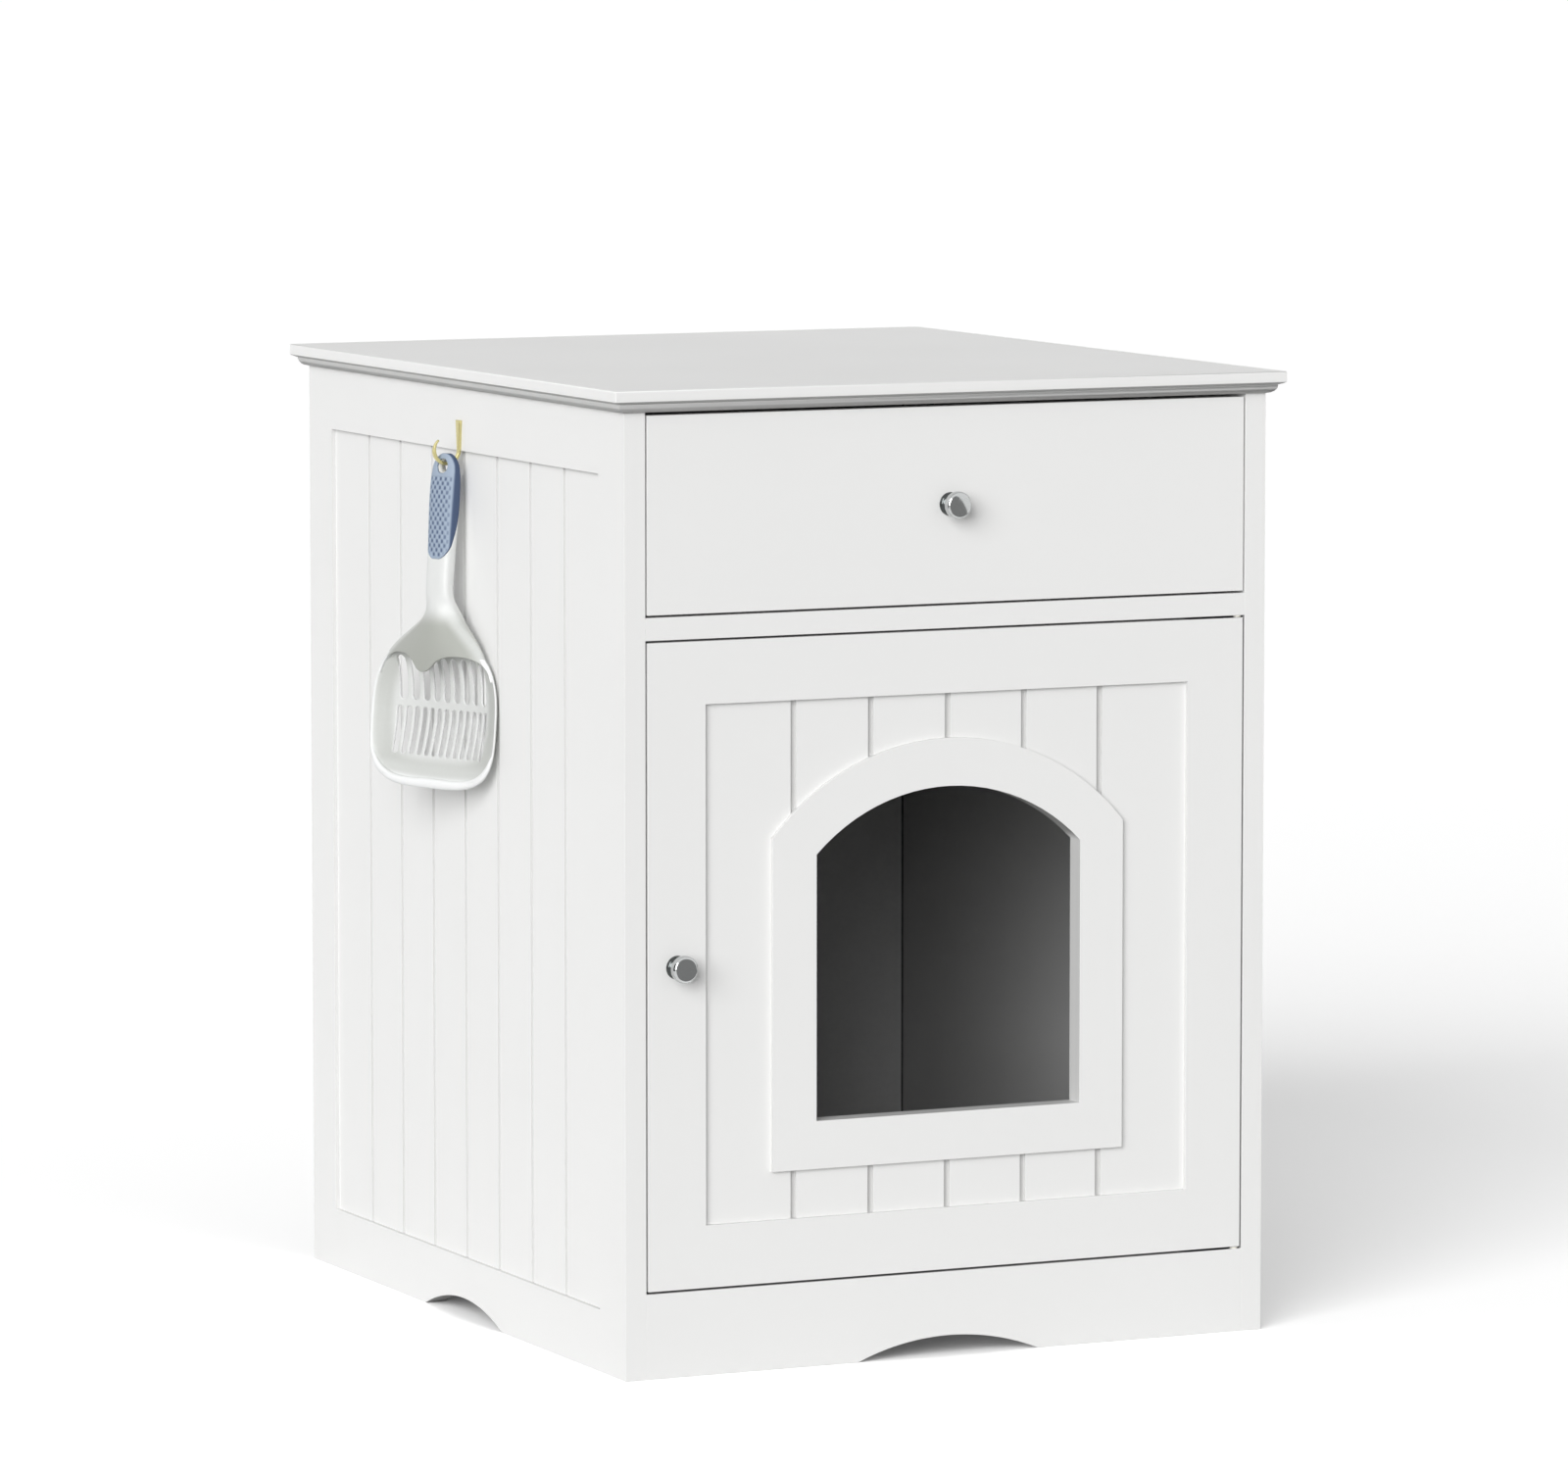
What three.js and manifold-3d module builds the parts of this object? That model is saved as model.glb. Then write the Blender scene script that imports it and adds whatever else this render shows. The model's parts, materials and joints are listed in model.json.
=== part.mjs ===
// Cat litter box cabinet: a white painted board cabinet with a drawer above an arched entrance door,
// and a litter scoop on a hook at its left side. Millimetres, +Z up, front towards -Y.
// The origin is the middle of the rear kick rail's lower face, on the floor and on the cabinet's mid plane.
import * as THREE from "three";
import { mergeVertices } from "three/addons/utils/BufferGeometryUtils.js";
import Module from "manifold-3d";

const wasm = await Module();
wasm.setup();

// ---- carcass
const boardThick = 15;
const bodyWidth = 470;
const bodyDepth = 541.5;
const sideHeight = 634;
const topOverhang = 10.5;
const drawerBay = 133.5; // from the shelf to the top board
const apronHeight = 56.5;
const kickHeight = 41.5;
const backInset = 13.5; // from the side boards' rear edge to the back panel
const backThick = 5;
const backGrooveDepth = 6;
const backGrooveSlack = 0.15;
const backBottom = 10;
const archChord = 134; // floor arches
const archRise = 13.6;

// ---- routed faces
const frameWidth = 41.5; // flat border round every routed field
const sideTopBorder = 42;
const fieldDepth = 3;
const grooveWidth = 4;
const grooveDepth = 2;
const sideGroovePitch = 56;
const doorGroovePitch = 56.25;

// ---- top board edge
const topBandHeight = 7.5;
const topEdgeRound = 0.8;
const topLedgeInset = 4.3;
const topLedgeDrop = 1.7;

// ---- door and drawer fronts
const gap = 1.5;
const drawerTopGap = 2;
const archHalfInner = 97;
const archBorder = 32;
const archSill = 163.5;
const archCentre = 245.1;
const archRadius = 135.7;
const doorKnobFromEdge = 20.75;
const doorKnobHeight = 271;
const drawerKnobLift = 67; // from the shelf

// ---- pivot hinges, catch
const pivotFromEdge = 3;
const pivotFromFront = 3;
const pivotRadius = 1.5;
const leafLength = 40;
const leafWidth = 12;
const leafThick = 2.4;
const leafSetback = 1;
const washerRadius = 2.7;
const washerThick = 1.2;
const catchHeight = 271;
const catchWidth = 14;
const catchDepth = 14;
const catchLength = 34;
const magnetWidth = 7;
const magnetDepth = 4;
const magnetLength = 22;
const strikeThick = 1;
const strikeLength = 30;
const strikeScrewRadius = 1.6;
const strikeScrewLength = 8;

// ---- drawer box and runners
const drawerSideThick = 12;
const drawerBoxHeight = 90;
const drawerBoxDepth = 400;
const drawerBoxLift = 9.5; // from the shelf to the drawer box
const drawerBottomThick = 3.2;
const drawerBottomLift = 8;
const drawerGrooveDepth = 5;
const runnerSpace = 12.7;
const runnerLength = 400;
const runnerSetback = 2;
const sheetThick = 1;
const rollerRadius = 9;
const rollerWidth = 7;
const rollerFromWeb = 1.8;
const rollerPinRadius = 2.5;
const rollerFromEnd = 13;
const channelLift = 2.5; // from the shelf to the cabinet member
const channelLip = 3;

// ---- fasteners
const camRadius = 7.5;
const camDepth = 12;
const boltRadius = 3;
const boltEmbed = 8;
const boltReach = 24;
const fastenerFromFront = 45;
const fastenerFromRear = 61.5;
const fit = 0.3; // clearance between pieces that are cut for each other

// ---- knobs
const knobReach = 15.5;
const knobFlangeRadius = 7.5;
const knobNeckRadius = 4.5;
const knobCapRadius = 9.1;
const knobScrewRadius = 2;
const knobScrewGrip = 9;
const knobScrewHeadRadius = 4;
const knobScrewHeadThick = 2.4;

// ---- hook
const hookRadius = 9; // centre line of the open ring
const hookThick = 2;
const hookWidth = 2.8;
const hookTopWidth = 7;
const hookNeckWidth = 4;
const hookBelowTop = 22; // from the top board to the stem's end
const hookDrop = 19.4; // from the stem's end to the middle of the ring
const hookTipAngle = 50; // how far the tip curls back over the ring
const hookStudRadius = 2;
const hookStudLength = 8;
const hookStudDrop = 8;

// ---- scoop, in its own frame: u across, v out of its face, w up from the hanging hole
const scoopTwist = 21; // degrees that its face is turned towards the front
const scoopLean = 4.8; // degrees that its bowl stands out from the board
const holeBelowRing = 1.4;
const scoopHoleRadius = 5.3;
const handleTop = 8.4;
const handleHalfWidth = 11.4;
const handleHalfThick = 6;
const neckHalfWidth = 10.2;
const neckHeight = -92;
const gripEnd = -64;
const gripSkin = 1.3;
const hoodRise = 13; // crown of the hood above the bowl's rim
const hoodWall = 2.4;
const bowlMiddle = -172;
const bowlHalfWidth = 60.5;
const bowlHalfHeight = 46;
const bowlTopHalfHeight = 52;
const bowlDepth = 13;
const bowlWall = 2;
const upperSlots = { count: 9, pitch: 9.7, width: 6, top: -134, bottom: -161 };
const lowerSlots = { count: 13, pitch: 6.9, width: 4.4, top: -164, bottom: -199 };

// ---- derived places
const half = bodyWidth / 2;
const inner = half - boardThick;
const frontY = -(bodyDepth - backInset - backThick - boardThick / 2);
const rearY = frontY + bodyDepth;
const backFaceY = rearY - backInset - backThick;
const midY = frontY + bodyDepth / 2;
const totalHeight = sideHeight + boardThick;
const bottomTop = apronHeight;
const shelfTop = sideHeight - drawerBay;
const sideFieldTop = sideHeight - sideTopBorder;
const sideFieldRear = bodyDepth - frameWidth;
const hookTop = sideHeight - hookBelowTop;
const hookRingHeight = hookTop - hookDrop;
const doorRight = inner - gap;
const doorBottom = apronHeight + gap;
const doorTop = shelfTop - boardThick - gap;
const pivotX = doorRight - pivotFromEdge;
const pivotY = frontY + pivotFromFront;
const shelfUnder = shelfTop - boardThick;
const drawerFrontBottom = shelfTop + gap;
const drawerFrontTop = sideHeight - drawerTopGap;
const boxOuter = inner - runnerSpace;
const boxBottom = shelfTop + drawerBoxLift;
const boxTop = boxBottom + drawerBoxHeight;
const boxFrontY = frontY + boardThick;
const boxRearY = boxFrontY + drawerBoxDepth;

// ---- finishes
const finish = (color, roughness, metalness) =>
  new THREE.MeshStandardMaterial({ color, roughness, metalness });
const whitePaint = finish("#f0f0ee", 0.5, 0);
const innerBoard = finish("#bcbcbb", 0.7, 0);
const polishedChrome = finish("#d9dadb", 0.08, 1);
const zincSteel = finish("#b7babd", 0.35, 1);
const runnerEnamel = finish("#e7e7e4", 0.45, 0);
const nylon = finish("#e9e6dc", 0.5, 0);
const brass = finish("#c9b45c", 0.3, 1);
const ferrite = finish("#3a3a3c", 0.6, 0);
const scoopPlastic = finish("#dfe3de", 0.4, 0);
const gripRubber = finish("#8497c2", 0.7, 0);

// ---- solids: closed three.js geometries, joined and cut as manifolds
function solid(geometry) {
  const bare = geometry.index ? geometry.toNonIndexed() : geometry.clone();
  bare.deleteAttribute("normal");
  bare.deleteAttribute("uv");
  const merged = mergeVertices(bare, 1e-4);
  const mesh = new wasm.Mesh({
    numProp: 3,
    vertProperties: merged.attributes.position.array,
    triVerts: new Uint32Array(merged.index.array),
  });
  return new wasm.Manifold(mesh);
}

function toGeometry(manifold) {
  const mesh = manifold.getMesh();
  const geometry = new THREE.BufferGeometry();
  geometry.setAttribute("position", new THREE.BufferAttribute(mesh.vertProperties, 3));
  geometry.setIndex(new THREE.BufferAttribute(mesh.triVerts, 1));
  return geometry;
}

const union = (solids) => solids.reduce((joined, next) => joined.add(next));
const cutAll = (body, tools) => tools.reduce((left, tool) => left.subtract(tool), body);

function box(x0, x1, y0, y1, z0, z1) {
  const geometry = new THREE.BoxGeometry(x1 - x0, y1 - y0, z1 - z0);
  return solid(geometry.translate((x0 + x1) / 2, (y0 + y1) / 2, (z0 + z1) / 2));
}

// A cylinder from a point along an axis: "x", "y" or "z"; a negative length runs the other way.
function rod(radius, length, axis, [x, y, z], sides = 8) {
  const geometry = new THREE.CylinderGeometry(radius, radius, Math.abs(length), sides);
  geometry.translate(0, length / 2, 0);
  if (axis === "x") geometry.rotateZ(-Math.PI / 2);
  if (axis === "z") geometry.rotateX(Math.PI / 2);
  return solid(geometry.translate(x, y, z));
}

// An outline drawn in two axes and extruded along the third, from the start value over the length.
function prism(shape, plane, start, length) {
  const options = { depth: length, bevelEnabled: false, curveSegments: 12 };
  const geometry = new THREE.ExtrudeGeometry(shape, options);
  if (plane === "xz") geometry.rotateX(Math.PI / 2).translate(0, start + length, 0);
  if (plane === "yz") geometry.rotateX(Math.PI / 2).rotateZ(Math.PI / 2).translate(start, 0, 0);
  if (plane === "xy") geometry.translate(0, 0, start);
  return solid(geometry);
}

function polygon(points) {
  return new THREE.Shape(points.map(([a, b]) => new THREE.Vector2(a, b)));
}

// Rings of equal point counts, joined into one closed skin with a flat cap at each end.
function loft(rings) {
  const count = rings[0].length;
  const positions = rings.flat(2);
  const faces = [];
  for (let r = 0; r + 1 < rings.length; r++) {
    for (let i = 0; i < count; i++) {
      const a = r * count + i;
      const b = r * count + ((i + 1) % count);
      faces.push(a, b, b + count, a, b + count, a + count);
    }
  }
  const last = (rings.length - 1) * count;
  for (let i = 1; i + 1 < count; i++) faces.push(0, i + 1, i, last, last + i, last + i + 1);
  const geometry = new THREE.BufferGeometry();
  geometry.setAttribute("position", new THREE.Float32BufferAttribute(positions, 3));
  geometry.setIndex(faces);
  return solid(geometry);
}

const cabinet = new THREE.Group();

function addMesh(name, material, manifold) {
  const mesh = new THREE.Mesh(toGeometry(manifold), material);
  mesh.name = name;
  cabinet.add(mesh);
}

// ---- cam fittings: a bolt screwed into one board, drawn up by a cam in a pocket of the other
const drillings = [];
const drilled = (body) => cutAll(body, drillings);
const axes = ["x", "y", "z"];

// at is on the joint face; the bolt points along the signed axis into the pocketed board, whose pocket
// opens at pocketFace and runs inwards along the signed pocket axis.
function camFitting(name, { at, bolt, way, pocket, into, pocketFace, camThick = camDepth }) {
  const along = axes.indexOf(bolt);
  const shifted = (distance) => at.map((value, i) => (i === along ? value + way * distance : value));
  const shank = rod(boltRadius, way * (boltEmbed + boltReach + 2), bolt, shifted(-boltEmbed));
  const centre = shifted(boltReach + camRadius);
  centre[axes.indexOf(pocket)] = pocketFace;
  const mouth = [...centre];
  mouth[axes.indexOf(pocket)] -= into;
  const boreLength = way * (boltEmbed + boltReach + camRadius);
  drillings.push(rod(boltRadius + fit, boreLength, bolt, shifted(-boltEmbed - fit)));
  drillings.push(rod(camRadius + fit, into * (camThick + fit + 1), pocket, mouth, 12));
  addMesh(name, zincSteel, shank.add(rod(camRadius, into * camThick, pocket, centre, 12)));
}

const sideWords = [[-1, "left"], [1, "right"]];
const rowWords = [[fastenerFromFront, "front"], [bodyDepth - fastenerFromRear, "rear"]];
const camHeight = kickHeight / 2;
for (const [side, sideWord] of sideWords) {
  const inward = { bolt: "x", way: -side };
  for (const [row, rowWord] of rowWords) {
    const y = frontY + row;
    for (const [panel, under] of [["shelf", shelfUnder], ["bottom", bottomTop - boardThick]]) {
      const at = [side * inner, y, under + boardThick / 2];
      const room = { pocket: "z", into: 1, pocketFace: under };
      camFitting(`${panel}_cam_${sideWord}_${rowWord}`, { ...inward, at, ...room });
    }
    camFitting(`top_cam_${sideWord}_${rowWord}`, {
      at: [side * (half - boardThick / 2), y, sideHeight],
      bolt: "z",
      way: -1,
      pocket: "x",
      into: side,
      pocketFace: side * inner,
    });
  }
  for (const [panel, middleY, pocketWay] of [
    ["apron", frontY + boardThick / 2, -1],
    ["rail", backFaceY - boardThick / 2, 1],
  ]) {
    camFitting(`${panel}_cam_${sideWord}`, {
      ...inward,
      at: [side * inner, middleY, camHeight],
      pocket: "y",
      into: pocketWay,
      pocketFace: middleY - (pocketWay * boardThick) / 2,
    });
  }
}

// ---- shared cutters
const grooveOutline = (along, face, into) => [
  [along - grooveWidth / 2, face - into * 0.5],
  [along - grooveWidth / 2, face + into * grooveDepth],
  [along + grooveWidth / 2, face + into * grooveDepth],
  [along + grooveWidth / 2, face - into * 0.5],
];

function floorArch(centre) {
  const radius = (archChord ** 2 / 4 + archRise ** 2) / (2 * archRise);
  const sweep = Math.asin(archChord / 2 / radius);
  const shape = new THREE.Shape();
  shape.moveTo(centre - archChord / 2, -1);
  shape.lineTo(centre + archChord / 2, -1);
  shape.absarc(centre, archRise - radius, radius, Math.PI / 2 - sweep, Math.PI / 2 + sweep, false);
  return shape;
}

// ---- side boards, drawn at the left and mirrored for the right
function sideBoard(side) {
  const fieldX = -half + fieldDepth;
  const cuts = [
    box(-half - 1, fieldX, frontY + frameWidth, frontY + sideFieldRear, frameWidth, sideFieldTop),
    prism(floorArch(midY), "yz", -half - 1, boardThick + 2),
    box(
      -inner - backGrooveDepth,
      -inner + 1,
      backFaceY - backGrooveSlack,
      backFaceY + backThick + backGrooveSlack,
      backBottom - fit,
      sideHeight + 1,
    ),
  ];
  for (let k = -3; k <= 3; k++) {
    const groove = grooveOutline(midY + k * sideGroovePitch, fieldX, 1).map(([y, x]) => [x, y]);
    cuts.push(prism(polygon(groove.reverse()), "xy", frameWidth, sideFieldTop - frameWidth));
  }
  const board = cutAll(box(-half, -inner, frontY, rearY, 0, sideHeight), cuts);
  if (side > 0) return drilled(board.mirror([1, 0, 0]));
  const studHole = [-half - 1, midY, hookTop - hookStudDrop];
  return drilled(board).subtract(rod(hookStudRadius + fit, hookStudLength + fit + 1, "x", studHole));
}

// ---- top board: rectangular rings follow the moulded edge from its lower face up
function topBoard() {
  const rings = [];
  const ring = (offset, z) => {
    const x = half + offset;
    const [front, rear] = [frontY - offset, rearY + offset];
    rings.push([[-x, front, z], [x, front, z], [x, rear, z], [-x, rear, z]]);
  };
  const bandBottom = totalHeight - topBandHeight;
  const ovoloTop = bandBottom - topLedgeDrop;
  const steps = 4;
  for (let i = 0; i <= steps; i++) {
    const angle = (1 - i / steps) * (Math.PI / 2);
    const dropped = (ovoloTop - sideHeight) * Math.sin(angle);
    ring((topOverhang - topLedgeInset) * Math.cos(angle), ovoloTop - dropped);
  }
  ring(topOverhang, bandBottom);
  ring(topOverhang, totalHeight - topEdgeRound);
  ring(topOverhang - topEdgeRound, totalHeight);
  return drilled(loft(rings));
}

addMesh("top_panel", whitePaint, topBoard());
addMesh("left_side_panel", whitePaint, sideBoard(-1));
addMesh("right_side_panel", whitePaint, sideBoard(1));

// ---- pivot hinges: leaves let into the edges of the door, the shelf and the apron
const leafLeft = doorRight - leafLength;
const leafFrontY = frontY + leafSetback;
const pivotRod = (radius, z0, z1) => rod(radius, z1 - z0, "z", [pivotX, pivotY, z0], 16);
const pinHole = (z0, z1) => pivotRod(pivotRadius + fit, z0, z1);
const leafSlot = (z0, z1) =>
  box(leafLeft - fit, doorRight + fit, leafFrontY - fit, leafFrontY + leafWidth + fit, z0, z1);

function leaf(z) {
  const plate = box(leafLeft, doorRight, leafFrontY, leafFrontY + leafWidth, z, z + leafThick);
  return plate.subtract(pinHole(z - 1, z + leafThick + 1));
}

const hingeEnds = [
  { word: "lower", fixedZ: apronHeight - leafThick, doorZ: doorBottom, washerZ: apronHeight },
  { word: "upper", fixedZ: shelfUnder, doorZ: doorTop - leafThick, washerZ: shelfUnder - washerThick },
];
for (const { word, fixedZ, doorZ, washerZ } of hingeEnds) {
  const pinBottom = Math.min(fixedZ, doorZ);
  addMesh(`${word}_fixed_leaf`, zincSteel, leaf(fixedZ));
  addMesh(`${word}_door_leaf`, zincSteel, leaf(doorZ));
  addMesh(`${word}_pivot_pin`, zincSteel, pivotRod(pivotRadius, pinBottom, pinBottom + 2 * leafThick + gap));
  const ring = pivotRod(washerRadius, washerZ, washerZ + washerThick);
  addMesh(`${word}_pivot_washer`, nylon, ring.subtract(pinHole(washerZ - 1, washerZ + washerThick + 1)));
}

// ---- boards between the sides
function shelf() {
  const board = box(-inner, inner, frontY, backFaceY, shelfUnder, shelfTop);
  return drilled(board.subtract(leafSlot(shelfUnder - 1, shelfUnder + leafThick)));
}

function apron() {
  const board = box(-inner, inner, frontY, frontY + boardThick, 0, apronHeight);
  const arch = prism(floorArch(0), "xz", frontY - 1, boardThick + 2);
  return drilled(cutAll(board, [arch, leafSlot(apronHeight - leafThick, apronHeight + 1)]));
}

const backHalf = inner + backGrooveDepth - 0.5;
const bottomBoard = box(-inner, inner, frontY + boardThick, backFaceY, bottomTop - boardThick, bottomTop);
const kickRail = box(-inner, inner, backFaceY - boardThick, backFaceY, 0, kickHeight);
const backBoard = box(-backHalf, backHalf, backFaceY, backFaceY + backThick, backBottom, sideHeight);
addMesh("mid_shelf", whitePaint, shelf());
addMesh("bottom_panel", innerBoard, drilled(bottomBoard));
addMesh("front_apron", whitePaint, apron());
addMesh("rear_kick_rail", innerBoard, drilled(kickRail));
addMesh("back_panel", innerBoard, backBoard);

// ---- knobs, turned, with a threaded socket for the screw that comes from behind
const knobHoleRadius = knobScrewRadius + fit;
const boardBackY = frontY + boardThick;
const doorKnobAt = [-doorRight + doorKnobFromEdge, doorKnobHeight];
const drawerKnobAt = [0, shelfTop + drawerKnobLift];
const knobHole = ([x, z]) => rod(knobHoleRadius, boardThick + 2, "y", [x, frontY - 1, z]);

function knob([x, z]) {
  const profile = [
    [0, 0],
    [knobFlangeRadius, 0],
    [knobFlangeRadius, 1.6],
    [knobFlangeRadius - 1.2, 2.6],
    [knobNeckRadius, 4],
    [knobNeckRadius, 7],
    [knobNeckRadius + 1.5, 8.6],
    [knobCapRadius - 0.6, 9.6],
    [knobCapRadius, 10.8],
    [knobCapRadius, knobReach - 2.1],
    [knobCapRadius - 0.7, knobReach - 0.7],
    [knobCapRadius - 2, knobReach],
    [0, knobReach],
  ].map(([radius, reach]) => new THREE.Vector2(radius, reach));
  const turned = new THREE.LatheGeometry(profile, 20).rotateX(Math.PI).translate(x, frontY, z);
  return solid(turned).subtract(rod(knobHoleRadius, -(knobScrewGrip + 1), "y", [x, frontY + 1, z]));
}

function knobScrew([x, z]) {
  const head = rod(knobScrewHeadRadius, knobScrewHeadThick, "y", [x, boardBackY, z], 12);
  return head.add(rod(knobScrewRadius, -(boardThick + knobScrewGrip + 0.2), "y", [x, boardBackY + 0.5, z]));
}

for (const [word, at] of [["door", doorKnobAt], ["drawer", drawerKnobAt]]) {
  addMesh(`${word}_knob`, polishedChrome, knob(at));
  addMesh(`${word}_knob_screw`, zincSteel, knobScrew(at));
}

// ---- magnetic catch on the left side board, strike plate on the door's back
const strikeX = -inner + catchWidth / 2 + gap;
const strikeRearY = boardBackY + strikeThick;
const catchFrontY = strikeRearY + fit;
const strikeScrewHole = (radius, y0, y1) => rod(radius, y1 - y0, "y", [strikeX, y0, catchHeight], 12);
const upright = (x, halfWidth, y0, y1, halfHeight) =>
  box(x - halfWidth, x + halfWidth, y0, y1, catchHeight - halfHeight, catchHeight + halfHeight);
const catchCase = box(
  -inner,
  -inner + catchWidth,
  catchFrontY,
  catchFrontY + catchDepth,
  catchHeight - catchLength / 2,
  catchHeight + catchLength / 2,
);
const magnetX = -inner + catchWidth / 2;
const magnetRoom = upright(
  magnetX,
  magnetWidth / 2 + fit,
  catchFrontY - 1,
  catchFrontY + magnetDepth + fit,
  magnetLength / 2 + fit,
);
const magnetRear = catchFrontY + magnetDepth;
const magnet = upright(magnetX, magnetWidth / 2, catchFrontY, magnetRear, magnetLength / 2);
const strike = upright(strikeX, catchWidth / 2 - gap, boardBackY, strikeRearY, strikeLength / 2);
addMesh("magnet_catch_case", nylon, catchCase.subtract(magnetRoom));
addMesh("catch_magnet", ferrite, magnet);
const strikeHole = strikeScrewHole(strikeScrewRadius + fit, boardBackY - 1, strikeRearY + 1);
addMesh("strike_plate", zincSteel, strike.subtract(strikeHole));
addMesh("strike_screw", zincSteel, strikeScrewHole(strikeScrewRadius, strikeRearY - strikeScrewLength, strikeRearY));

// ---- door: one board with a routed field, grooves and a raised surround round the arched opening
function archedPrism(halfWidth, bottom, radius, startY, length) {
  const spring = archCentre + Math.sqrt(radius ** 2 - halfWidth ** 2);
  const sweep = Math.asin(halfWidth / radius);
  const shape = new THREE.Shape();
  shape.moveTo(-halfWidth, spring);
  shape.lineTo(-halfWidth, bottom);
  shape.lineTo(halfWidth, bottom);
  shape.absarc(0, archCentre, radius, Math.PI / 2 - sweep, Math.PI / 2 + sweep, false);
  return prism(shape, "xz", startY, length);
}

function door() {
  const fieldY = frontY + fieldDepth;
  const fieldHalf = doorRight - frameWidth;
  const fieldBottom = doorBottom + frameWidth;
  const fieldTop = doorTop - frameWidth;
  let field = box(-fieldHalf, fieldHalf, frontY - 1, fieldY, fieldBottom, fieldTop);
  for (let k = -2; k <= 2; k++) {
    const groove = polygon(grooveOutline(k * doorGroovePitch, fieldY, 1).reverse());
    field = field.add(prism(groove, "xy", fieldBottom, fieldTop - fieldBottom));
  }
  const outer = archHalfInner + archBorder;
  const surround = archedPrism(outer, archSill - archBorder, archRadius + archBorder, frontY - 2, boardThick);
  return cutAll(box(-doorRight, doorRight, frontY, boardBackY, doorBottom, doorTop), [
    field.subtract(surround),
    archedPrism(archHalfInner, archSill, archRadius, frontY - 1, boardThick + 2),
    knobHole(doorKnobAt),
    leafSlot(doorBottom - 1, doorBottom + leafThick),
    leafSlot(doorTop - leafThick, doorTop + 1),
    strikeScrewHole(strikeScrewRadius + fit, strikeRearY - strikeScrewLength - fit, boardBackY + 1),
  ]);
}
addMesh("door_panel", whitePaint, door());

// ---- drawer box, its sides fastened to the front by cam fittings
const boxInner = boxOuter - drawerSideThick;
const drawerBottomZ = boxBottom + drawerBottomLift;
for (const [side, sideWord] of sideWords) {
  camFitting(`drawer_cam_${sideWord}`, {
    at: [side * (boxOuter - drawerSideThick / 2), boxFrontY, (boxBottom + boxTop) / 2 + 10],
    bolt: "y",
    way: 1,
    pocket: "x",
    into: side,
    pocketFace: side * boxInner,
    camThick: drawerSideThick - 2,
  });
}
const bottomRoom = box(
  -boxInner - drawerGrooveDepth,
  boxInner + drawerGrooveDepth,
  boxFrontY - drawerGrooveDepth,
  boxRearY + 1,
  drawerBottomZ,
  drawerBottomZ + drawerBottomThick,
);

function drawerSide(side) {
  const board = box(boxInner, boxOuter, boxFrontY, boxRearY, boxBottom, boxTop);
  return drilled(side > 0 ? board : board.mirror([1, 0, 0])).subtract(bottomRoom);
}

const drawerBottomHalf = boxInner + drawerGrooveDepth - fit;
const drawerBottomFront = boxFrontY - drawerGrooveDepth + fit;
const drawerBackBottom = drawerBottomZ + drawerBottomThick;
const drawerFace = box(-doorRight, doorRight, frontY, boxFrontY, drawerFrontBottom, drawerFrontTop);
const drawerFaceCuts = [bottomRoom, knobHole(drawerKnobAt)];
addMesh("drawer_front", whitePaint, cutAll(drilled(drawerFace), drawerFaceCuts));
for (const [side, sideWord] of sideWords) addMesh(`drawer_${sideWord}_side`, whitePaint, drawerSide(side));
addMesh(
  "drawer_back",
  whitePaint,
  box(-boxInner, boxInner, boxRearY - drawerSideThick, boxRearY, drawerBackBottom, boxTop),
);
addMesh(
  "drawer_bottom",
  innerBoard,
  box(-drawerBottomHalf, drawerBottomHalf, drawerBottomFront, boxRearY, drawerBottomZ, drawerBackBottom),
);

// ---- runners, drawn at the right: a channel on the side board and an angle under the drawer side.
// The drawer's flange runs on the roller at the channel's front end, and the roller at the angle's
// rear end runs in the channel. Each roller turns on a pin riveted to its web.
const channelBottom = shelfTop + channelLift;
const channelFloor = channelBottom + sheetThick;
const rearRollerZ = channelFloor + fit + rollerRadius;
const channelTop = rearRollerZ + rollerRadius + 0.7;
const flangeUnder = channelTop + sheetThick + 1;
const frontRollerZ = flangeUnder - fit - rollerRadius;
const runnerFrontY = boxFrontY + runnerSetback;
const runnerRearY = runnerFrontY + runnerLength;
const frontRollerY = runnerFrontY + rollerFromEnd;
const rearRollerY = boxRearY - rollerFromEnd;
const channelWebX = inner - sheetThick;
const rollerOuterX = channelWebX - rollerFromWeb;
const rollerInnerX = rollerOuterX - rollerWidth;
const lipX = rollerInnerX - 0.2;
const angleWebX = boxOuter + sheetThick;

const cabinetRunner = union([
  box(channelWebX, inner, runnerFrontY, runnerRearY, channelBottom, channelTop + sheetThick),
  box(lipX, inner, runnerFrontY, runnerRearY, channelBottom, channelFloor),
  box(lipX - sheetThick, lipX, runnerFrontY, runnerRearY, channelBottom, channelFloor + channelLip),
  box(lipX, inner, frontRollerY + rollerRadius + 4, runnerRearY, channelTop, channelTop + sheetThick),
  rod(rollerPinRadius, channelWebX - rollerInnerX + 0.5, "x", [rollerInnerX, frontRollerY, frontRollerZ], 12),
]);
const drawerRunner = union([
  box(boxOuter, angleWebX, runnerFrontY, boxRearY, boxBottom - sheetThick, flangeUnder + sheetThick),
  box(boxInner, angleWebX, runnerFrontY, boxRearY, boxBottom - sheetThick, boxBottom),
  box(boxOuter, rollerOuterX, runnerFrontY, boxRearY, flangeUnder, flangeUnder + sheetThick),
  rod(rollerPinRadius, rollerOuterX - boxOuter - 0.5, "x", [boxOuter + 0.5, rearRollerY, rearRollerZ], 12),
]);

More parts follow.
